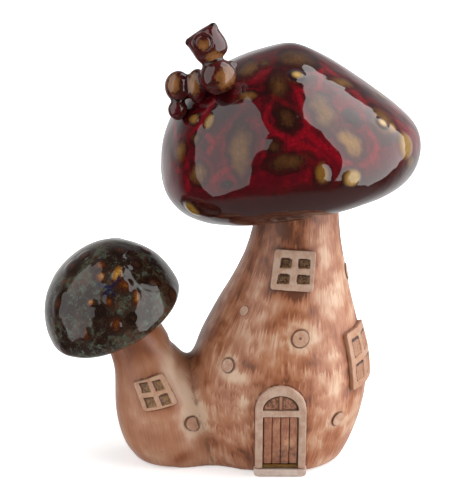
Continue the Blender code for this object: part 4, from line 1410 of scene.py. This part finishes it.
@dataclass(frozen=True)
class Knot:
    """A round knot pressed into a stem: a low button with wash caught round its rim."""

    node: str
    stem: StemForm
    height: float
    bearing: float
    radius: float
    dent: float = 0.25
    proud: float = 0.5
    rounding: float = 0.4
    root: float = 1.0
    pinhole: float = 0.0
    stain_and_shade: float = 0.9
    stain_width: float = 0.45
    rings: int = 9
    sides: int = 64

    def build(self) -> Piece:
        """Makes the button and bends it to its stem.

        Returns:
            The piece.
        """
        rim = self.radius - self.rounding
        rows = [(share * rim, self.proud - self.dent * (1 - share**2))
                for share in np.linspace(0, 1, self.rings)]
        rows += [(rim + self.rounding * math.sin(turn), self.proud - self.rounding * (1 - math.cos(turn)))
                 for turn in np.radians((30, 60, 90))]
        bm = spin([*rows, (self.radius, -self.root), (0, -self.root)], self.sides)
        away = np.array([math.hypot(vert.co.x, vert.co.y) for vert in bm.verts])
        belly = self.stem.radii.value(self.height)
        lean = self.stem.seat(self.bearing, self.height).col[1].z
        for vert in bm.verts:
            turned = self.bearing + math.degrees(vert.co.x / belly)
            vert.co = self.stem.skin(turned, self.height + vert.co.y * lean, vert.co.z)
        bmesh.ops.recalc_face_normals(bm, faces=bm.faces)
        piece = new_piece(self.node + "_button", bm)
        stained = ease(away, self.radius - self.stain_width, self.radius) * self.stain_and_shade
        if self.pinhole:
            stained = np.maximum(stained, 1 - ease(away, 0, self.pinhole))
        store(piece, hollow=stained, pane=NO_PANE, pane_edge=NO_PANE)
        finish = SprigClay(self.node + "_clay", "#c8a38a", "#b08064", "#54301e")
        return hand_in(piece, finish.material(), "knot_clay", (self.node,))


KNOTS = (
    Knot("knot_brow", LARGE_STEM, 66.5, 12, 3.9, pinhole=0.9),
    Knot("knot_left", LARGE_STEM, 53, -38, 3.3),
    Knot("knot_right", LARGE_STEM, 26.8, 42, 3.5, proud=0.8),
    Knot("knot_high_left", LARGE_STEM, 76.2, -40, 2.4, proud=0.2, stain_and_shade=0.42),
    Knot("knot_high_right", LARGE_STEM, 87, 84, 3.4, proud=0.4),
    Knot("knot_small_stem", SMALL_STEM, 22.2, 39, 3.5, proud=1.35, root=2),
)
# The knot that is too faint for the wash to be caught round it
FAINT_KNOT = "knot_high_left_button"


@dataclass(frozen=True)
class DoorLeaf:
    """The leaf: planks side by side, bent to the belly of the stem."""

    middle: float = 1.7
    width: float = 15.4
    foot: float = 7.4
    top: float = 32.4
    proud: float = 1.15
    depth: float = 2.0
    backing: float = 1.2
    planks: int = 4
    groove: float = 0.34
    step: float = 0.12
    rounding: float = 0.45
    soot: tuple = (4, 3, 7, 8)
    worn: tuple = (3.2, 19, 2.2)
    sharp: float = 50

    def block(self, bm: Form, across: float, out: float, width: float, depth: float) -> list:
        """Adds an upright block as tall as the leaf.

        Args:
            bm: The form that gets it.
            across: Its middle from the middle of the leaf.
            out: Its middle from the skin.
            width: Its width.
            depth: Its depth.

        Returns:
            Its vertices.
        """
        size = Matrix.Diagonal((width, self.top - self.foot, depth, 1))
        place = Matrix.Translation((across, (self.top + self.foot) / 2, out))
        return bmesh.ops.create_cube(bm, size=1, matrix=place @ size)["verts"]

    def flat(self) -> Form:
        """The planks with rounded edges, side by side on their backing.

        Returns:
            The form, in millimetres.
        """
        bm = bmesh.new()
        pitch = self.width / self.planks
        for index in range(self.planks):
            out = (self.proud - self.depth) / 2 - self.step * (index % 2)
            verts = self.block(bm, (index + 0.5) * pitch - self.width / 2, out, pitch - self.groove,
                               self.depth + self.proud)
            edges = {edge for vert in verts for edge in vert.link_edges}
            bmesh.ops.bevel(bm, geom=list(edges), affect="EDGES", offset=self.rounding, segments=3,
                            profile=0.5, material=-1)
        self.block(bm, 0, -self.backing / 2, self.width, self.backing)
        for level in np.arange(self.foot + 1, self.top, 1.0):
            bmesh.ops.bisect_plane(bm, geom=bm.verts[:] + bm.edges[:] + bm.faces[:], dist=MERGE,
                                   plane_co=(0, level, 0), plane_no=(0, 1, 0))
        return bm

    def build(self) -> Piece:
        """Makes the leaf, bent to the stem, with its grooves, soot and worn place marked.

        Returns:
            The piece.
        """
        bm = self.flat()
        for vert in bm.verts:
            across, level, out = vert.co
            reach = LARGE_STEM.radii.value(level) + out
            vert.co = HOUSE_ORIGIN + Vector((self.middle + across, -reach, level)) * MM
        bmesh.ops.recalc_face_normals(bm, faces=bm.faces)
        piece = new_piece("door_planks", bm)
        across, behind, level = house(read_points(piece)).T
        proud = -behind - LARGE_STEM.radii.at(level)
        right, up, wide, high = self.soot
        soot = np.hypot((across - self.middle - right) / wide, (level - self.foot - up) / high)
        right, up, radius = self.worn
        worn = np.hypot(across - self.middle - right, level - up) / radius
        store(piece, hollow=1 - ease(proud, 0.1, 0.7), pane=NO_PANE, low=1 - ease(soot, 0.5, 1.3),
              worn=1 - ease(worn, 0.3, 1.6))
        piece.data.set_sharp_from_angle(angle=math.radians(self.sharp))
        return hand_in(piece, DoorStain().material(), "door_stain", ("door_leaf",))


@dataclass(frozen=True)
class Fanlight:
    """The half-round light over the door, with its upright bar."""

    middle: float = 1.7
    bar: float = 2.1
    foot: float = 36.0
    top: float = 42.2
    half_width: float = 7.7
    arch_room: float = 5

    def build(self) -> Piece:
        """Makes the light with its two panes marked.

        Returns:
            The piece.
        """
        piece = soft_copy("door_light", "fanlight", pitch=0.22, passes=4)
        sideways, _, level = house(read_points(piece)).T
        across = np.abs(sideways - self.middle)
        arch = np.hypot(across / self.half_width, (level - self.foot) / (self.top - self.foot))
        room = np.min([across - self.bar / 2, (1 - arch) * self.arch_room, level - self.foot], axis=0)
        store(piece, pane=np.clip(room, NO_PANE, 2), hollow=1 - ease(np.abs(room), 0.1, 0.6),
              low=0, worn=0)
        return hand_in(piece, DoorStain("light_stain").material(), "door_stain", ("fanlight",))


@dataclass(frozen=True)
class WashAndShading:
    """A place on a stem where the wash is thicker, or wiped off where its strength is below 0. Some
    darker places are painted shade, and one lighter place is painted light.
    """

    stem: StemForm
    height: float
    bearing: float
    across: float
    upward: float
    strength: float
    edge: tuple = (0.2, 1.5)
    depth: tuple = (3.5, 10)

    def at(self, points: Points) -> Points:
        """Strength at each point.

        Args:
            points: The points, in metres.

        Returns:
            The values.
        """
        local = carry(self.stem.seat(self.bearing, self.height).inverted(), points) / MM
        share = np.hypot(local[:, 0] / self.across, local[:, 1] / self.upward)
        return ((1 - ease(share, *self.edge)) * (1 - ease(np.abs(local[:, 2]), *self.depth))
                * self.strength)


# Height, bearing, half width across and upward, and strength of each wash; the rows marked below are
# painted shade and painted light
WASHES_AND_SHADING = tuple(
    WashAndShading(stem, *row) for stem, rows in (
        # On the large stem, the broad rows at bearings -62 and -48 are painted shade on the left flank,
        # and the broad row at bearing 66 is painted light on the right side. The rows at heights 84 and
        # 101.2 are painted shadow below and above the upper window. The row at height 38, bearing -24 is
        # a lighter patch left of the door.
        (LARGE_STEM, ((74, -37, 1.9, 6.5, -0.2), (42, 37, 3, 9, -0.3), (81, 53, 5, 8, -0.25),
                      (103, 37, 6, 11, -0.3), (38, -24, 3.2, 4.5, -0.4), (47, -37, 5, 3, -0.25),
                      (49, -24, 3.8, 2.5, -0.25), (66, -6, 3, 6, -0.2), (21, 31, 3.2, 4, -0.2),
                      (56, 38, 3, 7, -0.2), (70, 66, 9, 26, -0.16), (107, -7, 7, 3.4, 0.32),
                      (84, 6, 8, 4.5, 0.32), (78, 10, 8, 5, 0.16), (101.2, 2, 8, 1.5, 0.4),
                      (71, -5, 3, 3, 0.15), (57, 19, 4.6, 3.6, 0.2), (51, -2, 9, 3, 0.36),
                      (47, -15, 3.6, 2.8, 0.22), (55, -25, 5.8, 2, 0.2), (9, 24, 4.4, 4.2, 0.22),
                      (11, -30, 9, 4.4, 0.22), (27, -34, 3.6, 5, 0.15), (46, 21, 4, 2.8, 0.18),
                      (59, 48, 3.4, 6.6, 0.16), (113, -12, 3.4, 4.6, 0.22), (60, -62, 12, 26, 0.16),
                      (98, -48, 9, 22, 0.14), (49, -72, 5, 5, 0.3), (14, -52, 7, 3, 0.25))),
        # On the small stem, the broad row at bearing -62 is painted shade on the left flank.
        (SMALL_STEM, ((41, 38, 7, 10, -0.46), (27, 52, 5, 9, -0.46), (54, 52, 6, 8, -0.25),
                      (33, 38, 5, 8, -0.22), (56, 4, 9, 3.4, 0.08), (46, -32, 5, 5, 0.14),
                      (7, 22, 8, 3, 0.26), (28, -62, 8, 16, 0.16))),
    ) for row in rows)


@dataclass(frozen=True)
class Stems:
    """The two stems as one cast: joined in a soft crease, with foot rings and drain holes under them."""

    pitch: float = 0.78
    valley: float = 11.0
    foot_valley: float = 12.0
    foot_height: float = 22.0
    buried: float = 5.0
    passes: int = 6
    waver_size: float = 16.0
    waver_depth: float = 0.3
    pinch: float = 2.4
    pinch_heights: tuple = (50, 60)
    pinch_reach: float = 5.0
    change: float = 3.0
    crease_reach: float = 7.0
    shade_width: float = 1.6
    shade_depth: float = 25.0

    def build(self, sprigs: list) -> Piece:
        """Makes the stems.

        Args:
            sprigs: The pieces on them, beside which the wash is caught.

        Returns:
            The object.
        """
        piece = new_piece("stems", gather([form.solid() for form in (LARGE_STEM, SMALL_STEM)]))
        remesh(piece, self.pitch)
        fill_joins(piece, self.distances, self.reach, self.buried)
        self.level(piece)
        remesh(piece, self.pitch)
        soften(piece, self.passes)
        waver(piece, self.waver_size, self.waver_depth)
        self.level(piece)
        self.draw_in(piece)
        self.mark(piece, sprigs)
        return hand_in(piece, StainedClay().material(), "stem_clay", ("large_stem", "small_stem"))

    @staticmethod
    def distances(points: Points) -> Points:
        """How far outside each stem points are, in millimetres."""
        return np.array([LARGE_STEM.proud(points), SMALL_STEM.proud(points)])

    def reach(self, points: Points) -> Points:
        """How far up both stems the slip fills the valley: furthest at the foot."""
        return self.valley + self.foot_valley * (1 - ease(points[:, 2] / MM, 0, self.foot_height))

    @staticmethod
    def level(piece: Piece) -> None:
        """Flattens what reaches below the floor."""
        write_points(piece, np.maximum(read_points(piece), (-math.inf, -math.inf, 0)))

    def draw_in(self, piece: Piece) -> None:
        """Draws in the right side of the small stem under its cap.

        Args:
            piece: The piece.
        """
        points = read_points(piece)
        large, small = self.distances(points)
        across, _, height, radius = SMALL_STEM.from_axis(points)
        side = np.clip(across / radius, 0, 1)
        share = side * ease(height, *self.pinch_heights)
        share = share * ease(large - small, 0, self.pinch_reach) * (small < self.pinch_reach)
        points[:, 0] -= self.pinch * share * MM
        write_points(piece, points)

    def mark(self, piece: Piece, sprigs: list) -> None:
        """Stores where the wash is caught and where it was wiped off, with the painted shade and light of
        some listed places, and how far below each cap's neck a point lies for the painted shade there.

        Args:
            piece: The stems.
            sprigs: The pieces on them.
        """
        points = read_points(piece)
        large, small = self.distances(points)
        on_large = (large < small)[:, None]
        brush = np.where(on_large, LARGE_STEM.brushing(points), SMALL_STEM.brushing(points))
        both_near = np.maximum(large, small) < self.crease_reach
        crease = np.where(both_near, np.abs(large - small), UNMARKED)
        # The wash mark also carries the painted shade and painted light of the marked rows.
        store(piece, small=ease(large - small, -self.change, self.change), brush=brush, crease=crease,
              wash=np.sum([wash.at(points) for wash in WASHES_AND_SHADING], axis=0))
        for name, of_knots in (("near_relief", False), ("near_knot", True)):
            others = np.concatenate([read_points(sprig) for sprig in sprigs
                                     if ("knot" in sprig.name) == of_knots and sprig.name != FAINT_KNOT])
            store(piece, **{name: nearest_distance(points, others) / MM})
        # How far below each cap's neck a point lies: this sets the painted shade of the cap on the stem.
        under = np.full(len(points), UNMARKED)
        for form in (LARGE_STEM, SMALL_STEM):
            local = carry(form.frame(form.neck).inverted(), points) / MM
            near = np.hypot(local[:, 0], local[:, 1]) < self.shade_width * form.radii.value(form.neck)
            below = np.minimum(under, -local[:, 2])
            under = np.where(near & (local[:, 2] > -self.shade_depth), below, under)
        store(piece, under_cap=np.clip(under, 0, UNMARKED))


@dataclass(frozen=True)
class Lump:
    """A rolled lump of clay: middle from the skin under the chest, half widths, lean and squareness."""

    node: str
    middle: tuple
    radii: tuple
    lean: float = 0.0
    corner: float = 2.0
    chin: float = 2.0
    bare: tuple = (0.0, 0.0)

    def frame(self, chest: Vector) -> Matrix:
        """Frame at the middle, in metres."""
        return Matrix.Translation(chest + Vector(self.middle) * MM) @ tilt(self.lean, 0)

    def solid(self, chest: Vector) -> Form:
        """The lump's form.

        Args:
            chest: Point of the cap under the chest, in metres.

        Returns:
            The form.
        """
        bm = bmesh.new()
        bmesh.ops.create_uvsphere(bm, u_segments=64, v_segments=40, radius=1)
        frame = self.frame(chest)
        for vert in bm.verts:
            way = vert.co
            power = self.corner if way.z > 0 else self.chin
            face = (abs(way.x) ** power + abs(way.z) ** power) ** (1 / power)
            way = way / math.hypot(face, way.y)
            vert.co = frame @ Vector([part * half * MM for part, half in zip(way, self.radii)])
        return bm

    def place(self, chest: Vector, points: Points) -> Points:
        """Points as shares of the lump's half widths."""
        return carry(self.frame(chest).inverted(), points) / MM / np.array(self.radii)

    def outside(self, chest: Vector, points: Points) -> Points:
        """Roughly how far outside the lump each point is, in millimetres.

        Args:
            chest: Point of the cap under the chest, in metres.
            points: The points, in metres.

        Returns:
            A distance for each point.
        """
        place = self.place(chest, points)
        x, y, z = np.abs(place).T
        power = np.where(place[:, 2] > 0, self.corner, self.chin)
        face = (x**power + z**power) ** (1 / power)
        return (np.hypot(face, y) - 1) * min(self.radii)


@dataclass(frozen=True)
class Grub:
    """The grub on the large cap: six lumps and two horns under one glaze, and a nose."""

    bearing: float = -44.5
    latitude: float = 50
    head: Lump = Lump("grub_head", (-6.6, 0.3, 17.7), (7.8, 7.3, 7.7), 33, 4.5, 2.9, (0.0, -0.8))
    lumps: tuple = (
        Lump("grub_chest", (-2.4, -1.7, 4.3), (8.2, 7.7, 8.1), bare=(0.42, 0.05)),
        Lump("grub_middle", (-11.4, 4.0, -1.1), (5.2, 6, 7.8), bare=(-0.3, 0.25)),
        Lump("grub_rear", (-19.9, 5.0, -1.5), (6.0, 5.8, 7.1), bare=(-0.3, 0.3)),
        Lump("grub_tail", (-20, 2.6, -11.3), (4.5, 4.6, 4.6), bare=(0.0, -1.5)),
        Lump("grub_arm", (3.7, 0.3, 8.6), (2.5, 2.3, 2.3), bare=(0.0, -1.6)),
    )
    horn_radii: tuple = (1.4, 1.3, 1.4)
    horn_place: tuple = (6.5, 0.0, 5.8)
    horn_spread: float = 45
    nose_growth: float = 1.46
    nose_shift: tuple = (-0.6, 0.3, 2.3)
    nose_groove: float = 3.3
    nose_groove_width: float = 0.8
    nose_pitch: float = 0.16
    nose_passes: int = 4
    nose_bare: tuple = (0.4, -0.9)
    fillet: float = 1.6
    buried: float = 3
    pitch: float = 0.36
    passes: int = 3
    waver_size: float = 6
    waver_depth: float = 0.3

    def build(self) -> None:
        """Makes the grub's body and its nose."""
        self.body(LARGE_CAP.point(self.bearing, self.latitude))
        self.nose()

    def horns(self) -> list:
        """The two stubs on the corners of the head.

        Returns:
            The two lumps.
        """
        found = []
        for node, side in (("grub_horn_left", -1), ("grub_horn_right", 1)):
            corner = tilt(self.head.lean, 0) @ Vector((side * self.horn_place[0], 0, self.horn_place[2]))
            middle = tuple(Vector(self.head.middle) + corner)
            found.append(Lump(node, middle, self.horn_radii, self.head.lean - side * self.horn_spread,
                              bare=(0.0, 0.1)))
        return found

    def body(self, chest: Vector) -> Piece:
        """The lumps as one skin, with their creases and bare sides marked.

        Args:
            chest: Point of the cap under the chest, in metres.

        Returns:
            The object.
        """
        lumps = (self.head, *self.lumps, *self.horns())

        def distances(points: Points) -> Points:
            """How far outside each lump points are."""
            return np.array([lump.outside(chest, points) for lump in lumps])

        piece = new_piece("grub_glazed", gather([lump.solid(chest) for lump in lumps]))
        remesh(piece, self.pitch)
        fill_joins(piece, distances, lambda points: np.full(len(points), self.fillet), self.buried)
        remesh(piece, self.pitch)
        soften(piece, self.passes)
        waver(piece, self.waver_size, self.waver_depth)
        points = read_points(piece)
        away = distances(points)
        owner = away.argmin(axis=0)
        first, second = np.sort(away, axis=0)[:2]
        bare = np.zeros(len(points))
        for index, lump in enumerate(lumps):
            local = lump.place(chest, points)
            toward = 1 - np.hypot(local[:, 0] - lump.bare[0], (local[:, 2] - lump.bare[1]) * 0.8) * 1.1
            bare = np.where(owner == index, toward, bare)
        store(piece, crease=np.clip(second - first, 0, FAR), bare=bare)
        nodes = tuple(lump.node for lump in lumps)
        keep_in_box(piece, nodes)
        return hand_in(piece, GrubGlaze().material(), "ochre_glaze", nodes)

    def nose(self) -> Piece:
        """The round snout with its ring groove.

        Returns:
            The piece.
        """
        piece = soft_copy("grub_nose_glazed", "grub_nose", self.nose_pitch, self.nose_passes)
        points = read_points(piece)
        centre = points.mean(axis=0)
        points = centre + (points - centre) * (self.nose_growth, 1, self.nose_growth)
        points += np.array(self.nose_shift) * MM
        write_points(piece, points)
        across, _, upward = (points - points.mean(axis=0)).T / MM
        groove = np.abs(np.hypot(across, upward) - self.nose_groove) / self.nose_groove_width
        right, up = self.nose_bare
        store(piece, crease=FAR * (1 - np.clip(1 - groove, 0, 1)),
              bare=0.95 - np.hypot(across - right, upward - up) * 0.2)
        return hand_in(piece, GrubGlaze("grub_nose_glaze").material(), "dark_glaze", ("grub_nose",))


@dataclass(frozen=True)
class Panel:
    """A soft box: its middle and size in metres, what it faces, and how bright it looks."""

    name: str
    middle: tuple
    size: tuple
    target: tuple
    brightness: float
    shows: bool = True
    turn: float = 0.0

    def build(self) -> None:
        """Makes the light."""
        light = bpy.data.lights.new(self.name, "AREA")
        light.shape = "RECTANGLE"
        light.size, light.size_y = self.size
        light.energy = self.brightness * math.pi * self.size[0] * self.size[1]
        lamp = bpy.data.objects.new(self.name, light)
        lamp.location = self.middle
        way = Vector(self.target) - Vector(self.middle)
        aim = way.to_track_quat("-Z", "Y").to_matrix() @ Matrix.Rotation(math.radians(self.turn), 3, "Z")
        lamp.rotation_euler = aim.to_euler()
        lamp.visible_camera = False
        lamp.visible_glossy = self.shows
        bpy.context.scene.collection.objects.link(lamp)


@dataclass(frozen=True)
class Studio:
    """The table, the soft boxes and the camera, in metres."""

    camera_place: tuple = (0.000783, -0.86357, 0.36057)
    camera_pitch: float = 73.0
    lens: float = 142.56
    surround: float = 0.14
    back_wall: float = 0.8
    table_glow: tuple = (0.5, 0.95)
    table_reach: tuple = (0.1, 0.32)
    panels: tuple = (
        Panel("left_box", (-0.84, -0.57, 0.47), (1.4, 2.4), (-0.09, -0.57, 0.22), 1.3, turn=18),
        Panel("right_box", (0.753, -0.13, 0.552), (1.34, 2.8), (0.013, -0.13, 0.352), 2.65, turn=-22),
        Panel("top_box", (0.0, 0.1, 1.5), (1.4, 1.0), (0, 0, 0), 0.8, shows=False),
    )

    def build(self) -> None:
        """Sets up the table, light and camera."""
        bpy.context.scene.view_settings.view_transform = "Standard"
        self.floor()
        for panel in self.panels:
            panel.build()
        self.world()
        self.camera()

    def floor(self) -> None:
        """A pale table that keeps the shadow of the house."""
        bm = bmesh.new()
        bmesh.ops.create_grid(bm, x_segments=8, y_segments=8, size=3)
        table = new_piece("table", bm)
        paint = Paint("table_paper", "#f6f6f6", roughness=0.9)
        paint.coat(paint.noise(paint.millimetres(), 0.004, 2.0), "#fafafa")
        away = paint.node("VectorMath", (paint.node("TexCoord").outputs["Object"],), operation="LENGTH")
        low, high = self.table_glow
        glow = paint.add(low, paint.rise(away.outputs["Value"], *self.table_reach), high - low)
        paint.feed(paint.shader.inputs["Emission Color"], linear("#ffffff"))
        paint.feed(paint.shader.inputs["Emission Strength"],
                   paint.both(paint.node("LightPath").outputs["Is Camera Ray"], glow))
        table.data.materials.append(paint.done())
        table.visible_glossy = False

    def world(self) -> None:
        """White for the camera, and a dim grey room for the glaze."""
        world = bpy.data.worlds.new("studio")
        world.use_nodes = True
        bpy.context.scene.world = world
        room = Nodes(world.node_tree)
        room.tree.nodes.clear()
        way = room.node("SeparateXYZ", (room.node("TexCoord").outputs["Generated"],))
        ray = room.node("LightPath").outputs

        def grey(strength: float) -> Socket:
            """An even room of one strength."""
            return room.node("Background", (linear("#ffffff"), strength)).outputs[0]

        def pick(share: Socket, first: Socket, second: Socket) -> Socket:
            """One of two rooms, by a share."""
            return room.node("MixShader", (share, first, second)).outputs[0]

        def along(axis: str, *ends: float) -> Socket:
            """A strength that changes along an axis, by where it starts and ends and its two values."""
            return room.node("MapRange", (way.outputs[axis], *ends)).outputs[0]

        behind = room.maths("MULTIPLY", along("Y", 0.3, 0.74, 0, 1), along("Z", 0.05, 0.4, 1, 0.3))
        bright = room.maths("MAXIMUM", behind, along("Z", -0.62, -0.76, 0, 0.3))
        around = pick(bright, grey(self.surround / 3), grey(self.back_wall))
        lit = pick(ray["Is Glossy Ray"], grey(self.surround), around)
        room.node("OutputWorld", (pick(ray["Is Camera Ray"], lit, grey(1.0)),))

    def camera(self) -> None:
        """The camera of the photograph."""
        data = bpy.data.cameras.new("camera")
        data.lens, data.sensor_width = self.lens, 36
        data.clip_start, data.clip_end = 0.05, 20
        camera = bpy.data.objects.new("camera", data)
        camera.location = self.camera_place
        camera.rotation_euler = (math.radians(self.camera_pitch), 0, 0)
        bpy.context.scene.collection.objects.link(camera)
        bpy.context.scene.camera = camera


WINDOWS = (
    Window("upper_window", LARGE_STEM, 93.6, 1, -1, 4.8, 4, 3),
    Window("side_window", LARGE_STEM, 51.8, 70, 0, 8, 8, 3.2),
    Window("small_window", SMALL_STEM, 38, 1, 17, 4.4, 4.6, 2.2, turned_back=7),
)
WINDOW_CLAYS = (
    SprigClay("upper_window_clay"),
    SprigClay("side_window_clay", "#bb9074", "#a87352", pane_dark="#94664a", pane_light="#b48464",
              edge=1.7),
    SprigClay("small_window_clay", "#cea68a", "#ba8a6c", "#5c3826", "#6e5238", "#a8805c"),
)
WINDOW_PASSES = (5, 5, 12)
SPRIGS = (
    Sprig("door_frame", SprigClay("cream_clay"), passes=9),
    Sprig("doorstep", SprigClay("step_clay", "#e2cfc3", "#d0b4a5"), passes=14, tuck=0),
    Sprig("door_sill", SprigClay("sill_glaze", "#7a5a26", "#5c3c18", "#2e1c0c", roughness=0.22),
          "amber_glaze", passes=3),
    *(Sprig(window.node, clay, stem=window.stem, pitch=0.25, passes=passes, window=window)
      for window, clay, passes in zip(WINDOWS, WINDOW_CLAYS, WINDOW_PASSES)),
)
CAPS = (
    GlazedCap("large_cap", LARGE_CAP, ReactiveGlaze(), "red_glaze", LARGE_SPOTS, LARGE_WARTS,
              LARGE_VEINS),
    GlazedCap("small_cap", SMALL_CAP, CrystalGlaze(), "green_glaze", SMALL_SPOTS, SMALL_WARTS,
              SMALL_VEINS, spot_rise=0.45, wart_rise=0.3, waver_size=14, waver_depth=0.5),
)


def main() -> None:
    """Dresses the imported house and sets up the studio."""
    logging.basicConfig(level=logging.INFO, format="%(name)s: %(message)s")
    FRAME.update(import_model())
    sprigs = [part.build() for part in (*SPRIGS, *KNOTS, DoorLeaf(), Fanlight())]
    Stems().build(sprigs)
    for cap in CAPS:
        cap.build()
    Grub().build()
    Studio().build()


if __name__ == "__main__":
    main()
